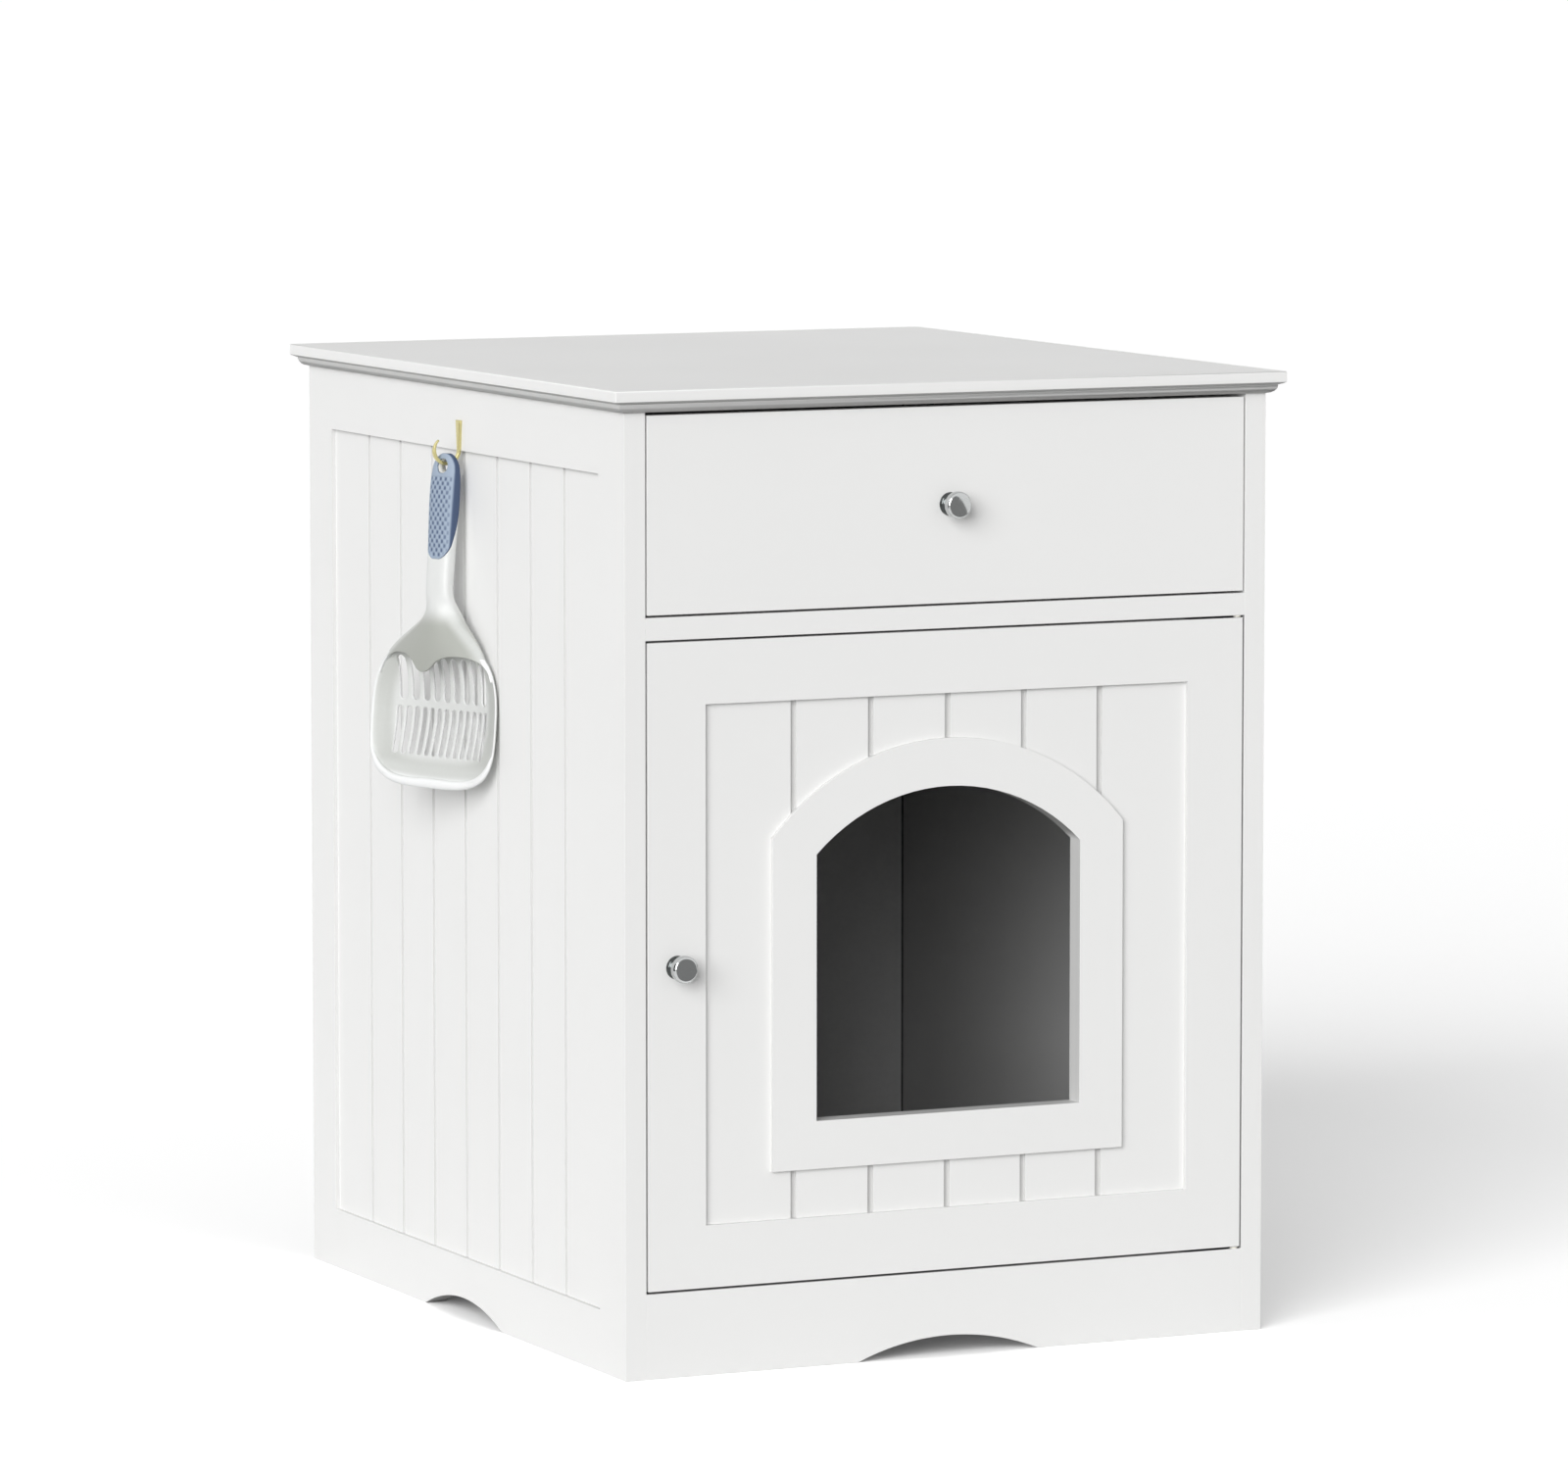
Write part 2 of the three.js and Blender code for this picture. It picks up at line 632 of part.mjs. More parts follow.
function roller(y, z) {
  const bore = rod(rollerPinRadius + fit, rollerWidth + 2, "x", [rollerInnerX - 1, y, z], 12);
  return rod(rollerRadius, rollerWidth, "x", [rollerInnerX, y, z], 20).subtract(bore);
}

for (const [side, sideWord] of sideWords) {
  const placed = (manifold) => (side > 0 ? manifold : manifold.mirror([1, 0, 0]));
  addMesh(`${sideWord}_cabinet_runner`, runnerEnamel, placed(cabinetRunner));
  addMesh(`${sideWord}_drawer_runner`, runnerEnamel, placed(drawerRunner));
  addMesh(`${sideWord}_cabinet_roller`, nylon, placed(roller(frontRollerY, frontRollerZ)));
  addMesh(`${sideWord}_drawer_roller`, nylon, placed(roller(rearRollerY, rearRollerZ)));
}

// ---- brass hook: a tapered flat stem against the board that bends out into an open ring
const ringX = -half - hookThick / 2 - hookRadius;
function hook() {
  const tip = Math.PI - (hookTipAngle * Math.PI) / 180;
  const strip = new THREE.Shape();
  strip.absarc(ringX, hookRingHeight, hookRadius + hookThick / 2, 0, tip, true);
  strip.absarc(ringX, hookRingHeight, hookRadius - hookThick / 2, tip, 0, false);
  const stem = polygon([
    [midY - hookNeckWidth / 2, hookRingHeight - 0.5],
    [midY + hookNeckWidth / 2, hookRingHeight - 0.5],
    [midY + hookTopWidth / 2, hookTop],
    [midY - hookTopWidth / 2, hookTop],
  ]);
  return union([
    prism(strip, "xz", midY - hookWidth / 2, hookWidth),
    prism(stem, "yz", -half - hookThick, hookThick),
    rod(hookStudRadius, hookStudLength + 0.5, "x", [-half - 0.5, midY, hookTop - hookStudDrop]),
  ]);
}
addMesh("scoop_hook", brass, hook());

// ---- scoop: a ring of points at a height w, squared a little at its corners
function handleRing([w, halfWidth, halfThick]) {
  const count = 12;
  return Array.from({ length: count }, (_, i) => {
    const angle = (i / count) * 2 * Math.PI;
    const squared = (value) => Math.sign(value) * Math.abs(value) ** 0.65;
    return [halfWidth * squared(Math.cos(angle)), halfThick * squared(Math.sin(angle)), w];
  });
}

// The handle from the neck to its rounded top, drawn in by a skin where the grip covers it.
function handle(skin) {
  const stations = [
    [neckHeight, neckHalfWidth, handleHalfThick - 0.8],
    [(neckHeight + gripEnd) / 2, neckHalfWidth + 0.3, handleHalfThick - 0.5],
    [gripEnd, handleHalfWidth - 1.2, handleHalfThick - 0.3],
    [-25, handleHalfWidth, handleHalfThick],
    [-5, handleHalfWidth, 4.4],
    [handleTop - 5, handleHalfWidth * 0.84, 3.6],
    [handleTop - 1.6, handleHalfWidth * 0.52, 3.1],
    [handleTop, handleHalfWidth * 0.22, 2.6],
  ];
  const drawnIn = stations.map(([w, halfWidth, halfThick]) => [
    Math.min(w, handleTop - skin),
    halfWidth - skin * (halfWidth / handleHalfWidth),
    halfThick - skin,
  ]);
  return loft((skin ? drawnIn : stations).map(handleRing));
}

// The hood: an arched strip that spreads from the neck to the bowl's rim.
function hood() {
  const stations = [
    { w: neckHeight + 4, halfWidth: neckHalfWidth - 0.5, edge: -4, crown: 4.8, wall: 7 },
    { w: neckHeight - 10, halfWidth: 13.5, edge: -4, crown: 6.2, wall: 5 },
    { w: neckHeight - 20, halfWidth: 22, edge: -3, crown: 8.2, wall: 3.4 },
    { w: neckHeight - 29, halfWidth: 35, edge: -1.5, crown: 10.4, wall: hoodWall },
    { w: neckHeight - 38, halfWidth: 46, edge: 0, crown: 12, wall: hoodWall },
    { w: neckHeight - 52, halfWidth: 53.5, edge: 0, crown: hoodRise, wall: hoodWall },
  ];
  const across = 8;
  const rings = stations.map(({ w, halfWidth, edge, crown, wall }) => {
    const outside = Array.from({ length: across + 1 }, (_, i) => {
      const share = 1 - (2 * i) / across;
      return [halfWidth * share, edge + (crown - edge) * (1 - share ** 2), w];
    });
    const inside = outside.map(([u, v]) => [u * 0.97, v - wall, w]).reverse();
    return [...outside, ...inside];
  });
  const lipShape = new THREE.Shape();
  lipShape.moveTo(-70, neckHeight - 60);
  lipShape.lineTo(70, neckHeight - 60);
  lipShape.lineTo(70, neckHeight - 50);
  lipShape.lineTo(50, neckHeight - 44);
  lipShape.quadraticCurveTo(44, neckHeight - 36, 28, neckHeight - 36);
  lipShape.quadraticCurveTo(14, neckHeight - 36, 9, neckHeight - 42);
  lipShape.quadraticCurveTo(0, neckHeight - 52, -9, neckHeight - 42);
  lipShape.quadraticCurveTo(-14, neckHeight - 36, -28, neckHeight - 36);
  lipShape.quadraticCurveTo(-44, neckHeight - 36, -50, neckHeight - 44);
  lipShape.lineTo(-70, neckHeight - 50);
  const belowLip = prism(lipShape, "xz", -20, 60);
  return loft([...rings].reverse()).subtract(belowLip);
}

// The bowl: a dish whose rings shrink from the rim to its middle, in front and behind.
function bowlPoint(share, angle, depth) {
  const upward = Math.sin(angle) > 0;
  const squared = (value) => Math.sign(value) * Math.abs(value) ** (upward ? 0.5 : 0.56);
  const w = share * squared(Math.sin(angle)) * (upward ? bowlTopHalfHeight : bowlHalfHeight);
  const taper = upward ? 1 - 0.14 * (w / bowlTopHalfHeight) ** 2 : 1;
  const shallow = upward ? 1 : 1 + (0.42 * w) / bowlHalfHeight;
  return [share * bowlHalfWidth * squared(Math.cos(angle)) * taper, -depth * shallow, bowlMiddle + w];
}

function bowl() {
  const count = 24;
  const shares = [0.2, 0.6, 0.84, 1];
  const ring = (share, extra) =>
    Array.from({ length: count }, (_, i) => {
      const floor = bowlDepth * (1 - share ** 3.2);
      return bowlPoint(share, (i / count) * 2 * Math.PI, floor + extra);
    });
  const front = shares.map((share) => ring(share, 0));
  const behind = [...shares].reverse().map((share) => ring(share, bowlWall));
  return loft([...front, ...behind]);
}

function slots({ count, pitch, width, top, bottom }) {
  return Array.from({ length: count }, (_, i) => {
    const u = (i - (count - 1) / 2) * pitch;
    return box(u - width / 2, u + width / 2, -40, 0, bottom, top);
  });
}

const holeZ = hookRingHeight - hookRadius - holeBelowRing;
const toCabinet = (manifold) =>
  manifold
    .rotate([scoopLean, 0, 0])
    .rotate([0, 0, 90 + scoopTwist])
    .translate([ringX, midY, holeZ]);

function gripRoom(radius) {
  const shape = new THREE.Shape();
  shape.moveTo(radius + 5, handleTop + 5);
  shape.lineTo(-radius - 5, handleTop + 5);
  shape.lineTo(-radius - 5, gripEnd + handleHalfWidth);
  shape.lineTo(-radius, gripEnd + handleHalfWidth);
  shape.absarc(0, gripEnd + handleHalfWidth, radius, Math.PI, 2 * Math.PI, false);
  shape.lineTo(radius + 5, gripEnd + handleHalfWidth);
  return prism(shape, "xz", -20, 40);
}

const hangingHole = rod(scoopHoleRadius, 60, "y", [0, -30, 0], 16);
const core = handle(gripSkin + fit);
const wholeHandle = handle(0);
const plasticHandle = wholeHandle.subtract(gripRoom(handleHalfWidth + fit)).add(core);
const slottedBowl = cutAll(bowl(), [...slots(upperSlots), ...slots(lowerSlots)]);
const scoopBody = union([plasticHandle, hood(), slottedBowl]).subtract(hangingHole);
const gripOutside = wholeHandle.intersect(gripRoom(handleHalfWidth));
const grip = cutAll(gripOutside, [handle(gripSkin), hangingHole]);
addMesh("scoop_body", scoopPlastic, toCabinet(scoopBody));
addMesh("scoop_grip", gripRubber, toCabinet(grip));

export default cabinet;
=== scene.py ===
import json
import math

import bmesh
import bpy
from mathutils import Matrix, Vector

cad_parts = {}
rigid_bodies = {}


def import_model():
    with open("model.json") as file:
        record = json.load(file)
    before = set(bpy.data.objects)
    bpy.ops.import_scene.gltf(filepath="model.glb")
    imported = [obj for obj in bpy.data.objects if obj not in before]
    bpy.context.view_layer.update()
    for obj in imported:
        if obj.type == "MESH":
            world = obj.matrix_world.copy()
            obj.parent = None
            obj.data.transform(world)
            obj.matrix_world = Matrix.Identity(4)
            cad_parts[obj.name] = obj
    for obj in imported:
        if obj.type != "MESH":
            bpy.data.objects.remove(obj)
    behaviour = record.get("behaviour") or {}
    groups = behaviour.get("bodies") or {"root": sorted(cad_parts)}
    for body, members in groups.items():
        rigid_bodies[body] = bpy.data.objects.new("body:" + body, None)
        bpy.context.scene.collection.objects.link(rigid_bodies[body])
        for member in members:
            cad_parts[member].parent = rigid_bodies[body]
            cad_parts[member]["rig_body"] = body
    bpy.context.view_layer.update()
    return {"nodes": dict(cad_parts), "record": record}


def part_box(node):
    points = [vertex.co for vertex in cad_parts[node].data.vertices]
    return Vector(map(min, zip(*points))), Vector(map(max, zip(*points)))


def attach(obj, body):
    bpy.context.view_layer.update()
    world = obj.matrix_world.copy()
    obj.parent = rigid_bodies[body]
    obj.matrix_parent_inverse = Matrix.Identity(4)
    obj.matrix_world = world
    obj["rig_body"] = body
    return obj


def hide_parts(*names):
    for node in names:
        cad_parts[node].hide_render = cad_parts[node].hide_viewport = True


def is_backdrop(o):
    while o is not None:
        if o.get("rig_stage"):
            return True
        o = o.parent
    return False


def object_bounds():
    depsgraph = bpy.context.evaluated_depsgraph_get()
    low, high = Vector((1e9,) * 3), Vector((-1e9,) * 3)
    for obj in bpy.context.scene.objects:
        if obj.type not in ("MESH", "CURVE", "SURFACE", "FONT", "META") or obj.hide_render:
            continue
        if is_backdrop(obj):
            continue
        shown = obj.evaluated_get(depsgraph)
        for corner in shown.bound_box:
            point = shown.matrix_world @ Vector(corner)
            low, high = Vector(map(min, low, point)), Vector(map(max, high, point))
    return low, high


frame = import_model()
print("cabinet frame loaded:", len(frame["nodes"]), "nodes")

# ---- camera: the catalogue picture's own three-quarter view, long lens
cameraView = {
    "place": (-2.52519, -5.64286, 1.0192),
    "lookDown": 6.0395,   # degrees
    "turn": -25.1235,
    "lens": 199.95,
}


def makeCamera(view):
    data = bpy.data.cameras.new("cabinetCamera")
    data.lens = view["lens"]
    data.sensor_width = 36
    data.sensor_fit = "HORIZONTAL"
    data.clip_end = 200
    camera = bpy.data.objects.new("cabinetCamera", data)
    bpy.context.scene.collection.objects.link(camera)
    camera.location = view["place"]
    camera.rotation_euler = (math.radians(90 - view["lookDown"]), 0, math.radians(view["turn"]))
    bpy.context.scene.camera = camera


makeCamera(cameraView)


# ---- shader helpers
def linearColour(hexText):
    channels = [int(hexText[i:i + 2], 16) / 255 for i in (1, 3, 5)]
    return [c / 12.92 if c <= 0.04045 else ((c + 0.055) / 1.055) ** 2.4 for c in channels] + [1]


def addNode(tree, kind, settings=None, links=None):
    node = tree.nodes.new("ShaderNode" + kind)
    for key, value in (settings or {}).items():
        if isinstance(key, int) or key in node.inputs:
            node.inputs[key].default_value = value
        else:
            setattr(node, key, value)
    for key, source in (links or {}).items():
        tree.links.new(source, node.inputs[key])
    return node


def newFinish(name, settings, specks=None):
    material = bpy.data.materials.new(name)
    material.use_nodes = True
    tree = material.node_tree
    tree.nodes.clear()
    surface = addNode(tree, "BsdfPrincipled", settings)
    output = addNode(tree, "OutputMaterial")
    tree.links.new(surface.outputs[0], output.inputs["Surface"])
    place = addNode(tree, "TexCoord").outputs["Object"]
    return material, tree, surface, place


def perMillimetre(size):
    return 1000 / size   # noise scale whose grain is this many millimetres wide


# ---- studio: pale floor, one large soft light from the front left, soft sky
studio = {
    "floorBounce": "#b4b4b4",   # the floor's colour for the light it gives back to the object
    "floorSeen": 1.42,    # the floor as the camera sees it, so that it runs out to white
    "floorGlow": 0.06,
    "floorReach": 70,     # metres each way, past the horizon of the picture
    "skyStrength": 0.405,
    "skySeen": 1.05,      # the sky as the camera sees it, white
    "keyFrom": (-0.60, -0.56, 0.25),
    "keySoftness": 44,    # degrees across, so that shadows have wide soft edges
    "keyStrength": 2.9,
    "cardGlow": 0.3,      # grey cards that only reflections show, for the knobs' dark and light bands
    "cardFade": (-1.4, -0.6),    # x over which the cards brighten, from the left
    "cardDark": 0.06,
    "cards": {
        "frontCard": [(-0.4, -2.2, 0.001), (1.29, -2.2, 0.001), (0.29, -2.2, 1.15), (-0.4, -2.2, 1.15)],
        "floorCard": [(-0.2, -1.0, 0.004), (1.3, -1.0, 0.004), (1.3, -2.4, 0.004), (-0.2, -2.4, 0.004)],
        "leftCard": [(-2.2, 1.2, 0.012), (-1.5, -1.6, 0.012), (-1.5, -1.6, 1.5), (-2.2, 1.2, 1.5)],
    },
}


def seenOrMirrored(tree):   # 1 where the camera looks at it, straight, in a reflection or through glass
    path = addNode(tree, "LightPath")
    seen = addNode(tree, "Math", {"operation": "MAXIMUM"},
                   {0: path.outputs["Is Camera Ray"], 1: path.outputs["Is Glossy Ray"]})
    return addNode(tree, "Math", {"operation": "MAXIMUM"},
                   {0: seen.outputs[0], 1: path.outputs["Is Transmission Ray"]}).outputs[0]


def makeStudio(values):
    bpy.context.scene.view_settings.view_transform = "Standard"
    world = bpy.data.worlds.new("studioSky")
    bpy.context.scene.world = world
    world.use_nodes = True
    tree = world.node_tree
    tree.nodes.clear()
    seen = seenOrMirrored(tree)
    strength = addNode(tree, "MapRange", {"To Min": values["skyStrength"], "To Max": values["skySeen"]},
                       {"Value": seen})
    sky = addNode(tree, "Background", {"Color": (1, 1, 1, 1)}, {"Strength": strength.outputs[0]})
    tree.links.new(sky.outputs[0], addNode(tree, "OutputWorld").inputs["Surface"])

    floorMesh = bpy.data.meshes.new("studioFloor")
    reach = values["floorReach"]
    corners = [(-reach, -reach, 0), (reach, -reach, 0), (reach, reach, 0), (-reach, reach, 0)]
    floorMesh.from_pydata(corners, [], [(0, 1, 2, 3)])
    floor = bpy.data.objects.new("studioFloor", floorMesh)
    bpy.context.scene.collection.objects.link(floor)
    floor.location.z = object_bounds()[0].z
    material = bpy.data.materials.new("studioFloorPaper")
    material.use_nodes = True
    tree = material.node_tree
    tree.nodes.clear()
    seen = seenOrMirrored(tree)
    glow = addNode(tree, "Math", {"operation": "MULTIPLY", 1: values["floorGlow"]}, {0: seen})
    tone = addNode(tree, "Mix", {"data_type": "RGBA", 6: linearColour(values["floorBounce"]),
                                 7: (values["floorSeen"],) * 3 + (1,)}, {0: seen})
    paper = addNode(tree, "BsdfDiffuse", None, {"Color": tone.outputs[2]})
    light = addNode(tree, "Emission", {"Color": (1, 1, 1, 1)}, {"Strength": glow.outputs[0]})
    both = addNode(tree, "AddShader", None, {0: paper.outputs[0], 1: light.outputs[0]})
    tree.links.new(both.outputs[0], addNode(tree, "OutputMaterial").inputs["Surface"])
    floorMesh.materials.append(material)
    floor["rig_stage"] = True

    key = bpy.data.lights.new("keySoftbox", "SUN")
    key.angle = math.radians(values["keySoftness"])
    key.energy = values["keyStrength"]
    keyObject = bpy.data.objects.new("keySoftbox", key)
    bpy.context.scene.collection.objects.link(keyObject)
    keyObject.rotation_euler = (-Vector(values["keyFrom"])).to_track_quat("-Z", "Y").to_euler()

    material = bpy.data.materials.new("greyCardPaper")
    material.use_nodes = True
    tree = material.node_tree
    tree.nodes.clear()
    place = addNode(tree, "SeparateXYZ", None, {0: addNode(tree, "TexCoord").outputs["Object"]})
    dark, bright = values["cardFade"]
    fade = addNode(tree, "MapRange", {"From Min": dark, "From Max": bright, "To Min": values["cardDark"],
                                      "To Max": values["cardGlow"]}, {"Value": place.outputs[0]})
    light = addNode(tree, "Emission", {"Color": (1, 1, 1, 1)}, {"Strength": fade.outputs[0]})
    tree.links.new(light.outputs[0], addNode(tree, "OutputMaterial").inputs["Surface"])
    for name, corners in values["cards"].items():
        cardMesh = bpy.data.meshes.new(name)
        cardMesh.from_pydata(corners, [], [(0, 1, 2, 3)])
        card = bpy.data.objects.new(name, cardMesh)
        bpy.context.scene.collection.objects.link(card)
        for ray in ("visible_camera", "visible_diffuse", "visible_shadow", "visible_transmission"):
            setattr(card, ray, False)
        cardMesh.materials.append(material)
        card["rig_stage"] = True


makeStudio(studio)
print("camera and studio ready")


# ---- finishes

# Satin lacquer sprayed on fibreboard: smooth, a faint orange peel, slightly uneven sheen.
# wallShade, underShade and each grooveShade are painted shade: darker on the walls of recesses and grooves,
# on faces that look down and on the grooves' floors. insideColour makes the boards inside the litter chamber
# greyer. All are set to read as the photograph does under this light, and stand for no known coat of paint.
lacquer = {
    "colour": "#f2f2f1",
    "shade": "#efefee",
    "insideColour": "#bababa",   # the boards inside the litter chamber
    "roughness": 0.5,
    "peelSize": 2.2,     # mm, drawn coarser than the real 1 mm so that it shows
    "cloudSize": 140,    # mm
    "peelHeight": 0.05,
    "sheenSpread": 0.05,
    "wallShade": "#d8d8d7",     # painted shade on the walls of recesses and grooves
    "wallTurn": (0.4, 0.8),    # share of a face's normal across the board: wall below, flat above
    "grooveStart": (0.1, 0.7),   # mm below the sunk field over which the grooves' painted shade fades in
    "grooveReach": 3,          # mm below the field where it ends, short of the board's other face
    "underShade": "#b2b2b1",    # painted shade on faces that look down
    "underTurn": (-0.05, -0.7),  # upward share of a face's normal over which that painted shade fades in
}


# Boxes are x, y and z ranges in metres. routed gives the axis across the board (0 x, 1 y), its flat face
# and the field's depth below it in mm, the painted shade of the grooves' floors, and a box round all the
# routing.
def lacqueredBoard(name, values, insideBox=None, routed=None):
    material, tree, surface, place = newFinish(name, {"Roughness": values["roughness"], "IOR": 1.5})
    cloud = addNode(tree, "TexNoise", {"Scale": perMillimetre(values["cloudSize"]), "Detail": 3.0},
                    {"Vector": place})
    tone = addNode(tree, "Mix", {"data_type": "RGBA", 6: linearColour(values["colour"]),
                                 7: linearColour(values["shade"])}, {0: cloud.outputs["Fac"]})
    colour = tone.outputs[2]
    spot = addNode(tree, "SeparateXYZ", None, {0: place})
    turned = addNode(tree, "SeparateXYZ", None, {0: addNode(tree, "TexCoord").outputs["Normal"]})

    def within(box):
        mask = None
        for axis, (low, high) in enumerate(box):
            for bound, operation in ((low, "GREATER_THAN"), (high, "LESS_THAN")):
                part = addNode(tree, "Math", {"operation": operation, 1: bound}, {0: spot.outputs[axis]})
                if mask is not None:
                    part = addNode(tree, "Math", {"operation": "MULTIPLY"},
                                   {0: mask.outputs[0], 1: part.outputs[0]})
                mask = part
        return mask.outputs[0]

    def laid(over, amounts, hexText):
        mask = amounts[0]
        for amount in amounts[1:]:
            mask = addNode(tree, "Math", {"operation": "MULTIPLY"}, {0: mask, 1: amount}).outputs[0]
        mixed = addNode(tree, "Mix", {"data_type": "RGBA", 7: linearColour(hexText)}, {0: mask, 6: over})
        return mixed.outputs[2]

    if routed:
        across = addNode(tree, "Math", {"operation": "ABSOLUTE"}, {0: turned.outputs[routed["axis"]]})
        out = addNode(tree, "Math", {"operation": "ABSOLUTE"}, {0: spot.outputs[routed["axis"]]})
        near = within(routed["box"])
        steep, flat = values["wallTurn"]
        wall = addNode(tree, "MapRange", {"From Min": steep, "From Max": flat, "To Min": 1.0, "To Max": 0.0},
                       {"Value": across.outputs[0]})
        edge = (routed["face"] - 0.02) / 1000   # a hair under the face, so that the face stays clean
        below = addNode(tree, "Math", {"operation": "LESS_THAN", 1: edge}, {0: out.outputs[0]})
        fieldAt = routed["face"] - routed["field"]
        start, full = ((fieldAt - drop) / 1000 for drop in values["grooveStart"])
        end = (fieldAt - values["grooveReach"]) / 1000
        deep = addNode(tree, "MapRange", {"From Min": start, "From Max": full}, {"Value": out.outputs[0]})
        shallow = addNode(tree, "Math", {"operation": "GREATER_THAN", 1: end}, {0: out.outputs[0]})
        # painted shade: darker on the walls of recesses and grooves, then on the grooves' floors
        colour = laid(colour, (wall.outputs[0], below.outputs[0], near), values["wallShade"])
        colour = laid(colour, (deep.outputs[0], shallow.outputs[0], near), routed["grooveShade"])
    # painted shade: darker on faces that look down
    level, down = values["underTurn"]
    under = addNode(tree, "MapRange", {"From Min": level, "From Max": down}, {"Value": turned.outputs[2]})
    colour = laid(colour, (under.outputs[0],), values["underShade"])
    if insideBox:
        colour = laid(colour, (within(insideBox),), values["insideColour"])
    tree.links.new(colour, surface.inputs["Base Color"])
    peel = addNode(tree, "TexNoise", {"Scale": perMillimetre(values["peelSize"]), "Detail": 2.0},
                   {"Vector": place})
    sheen = addNode(tree, "MapRange", {"To Min": values["roughness"] - values["sheenSpread"],
                                       "To Max": values["roughness"] + values["sheenSpread"]},
                    {"Value": cloud.outputs["Fac"]})
    tree.links.new(sheen.outputs[0], surface.inputs["Roughness"])
    bump = addNode(tree, "Bump", {"Strength": values["peelHeight"], "Distance": 0.0001},
                   {"Height": peel.outputs["Fac"]})
    tree.links.new(bump.outputs[0], surface.inputs["Normal"])
    return material


# The litter chamber: between the side boards, under the shelf, from just behind the carcass's front edges
# to just past the back panel's face. Faces that bound it are taken in by a small margin.
shelfLow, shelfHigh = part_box("mid_shelf")
edgeMargin = 0.0003
chamber = [(shelfLow.x - edgeMargin, shelfHigh.x + edgeMargin), (shelfLow.y + 0.0009, shelfHigh.y + 0.0015),
           (0, shelfLow.z + edgeMargin)]
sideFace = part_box("right_side_panel")[1].x
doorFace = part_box("door_panel")[0].y
# each routing's groove colour is painted shade on its grooves' floors
sideRouting = {"axis": 0, "face": sideFace * 1000, "field": 3, "grooveShade": "#dfdfde",
               "box": [(-0.24, 0.24), (-0.5, 0.012), (0.02, 0.61)]}
doorRouting = {"axis": 1, "face": -doorFace * 1000, "field": 3, "grooveShade": "#d6d6d5",
               "box": [(-0.2, 0.2), (-0.517, -0.4), (0.07, 0.46)]}
whiteBoard = lacqueredBoard("satinLacquerOnFibreboard", lacquer)
carcassBoard = lacqueredBoard("satinLacquerCarcass", lacquer, chamber)
sideBoard = lacqueredBoard("satinLacquerSide", lacquer, chamber, sideRouting)
doorBoard = lacqueredBoard("satinLacquerDoor", lacquer, None, doorRouting)


# Grey facing film on the inner boards: printed paper film, dull, with a fine fleck. The film is a guess and
# its grey is set to read as the photograph does. The dark line down the back panel's right end is painted
# shade in that corner.
facing = {
    "colour": "#c6c6c6",
    "fleck": "#bebebe",
    "roughness": 0.6,
    "fleckSize": 3,           # mm
    "fleckHeight": 0.1,
    # painted shade: a dark line in the corner at the back panel's right end
    "joint": "#3a3a3a",
    "cornerShadeFade": (1.6, 1.0),  # mm from the right side board over which the painted shade line fades in
}


def facedBoard(values):
    material, tree, surface, place = newFinish("greyFacingFilm",
                                               {"Roughness": values["roughness"], "IOR": 1.5})
    fleck = addNode(tree, "TexNoise", {"Scale": perMillimetre(values["fleckSize"]), "Detail": 4.0},
                    {"Vector": place})
    tone = addNode(tree, "Mix", {"data_type": "RGBA", 6: linearColour(values["colour"]),
                                 7: linearColour(values["fleck"])}, {0: fleck.outputs["Fac"]})
    spot = addNode(tree, "SeparateXYZ", None, {0: place})
    start, full = (shelfHigh.x - gap / 1000 for gap in values["cornerShadeFade"])
    joint = addNode(tree, "MapRange", {"From Min": start, "From Max": full}, {"Value": spot.outputs[0]})
    shown = addNode(tree, "Mix", {"data_type": "RGBA", 7: linearColour(values["joint"])},
                    {0: joint.outputs[0], 6: tone.outputs[2]})
    tree.links.new(shown.outputs[2], surface.inputs["Base Color"])
    bump = addNode(tree, "Bump", {"Strength": values["fleckHeight"], "Distance": 0.0001},
                   {"Height": fleck.outputs["Fac"]})
    tree.links.new(bump.outputs[0], surface.inputs["Normal"])
    return material


innerBoard = facedBoard(facing)


# Metals: bright chrome plate, dull zinc plate, satin brass. Colour, roughness and fine wear; grain in mm.
# The chrome's neck colour, near the board, is a painted dark reflection, set to read as dark as the
# photograph there.
metals = {
    "polishedChromePlate": {"colour": "#c8caca", "worn": "#bec0c0", "roughness": 0.06, "grain": 6,
                            "bump": 0.02, "neck": "#4e5151", "neckFade": (9.5, 8.0)},   # mm from the board
    "zincPlatedSteel": {"colour": "#b5b8bb", "worn": "#9fa2a6", "roughness": 0.34, "grain": 2, "bump": 0.15},
    "satinBrass": {"colour": "#dbd29c", "worn": "#c9bf86", "roughness": 0.3, "grain": 1.2, "bump": 0.12},
}


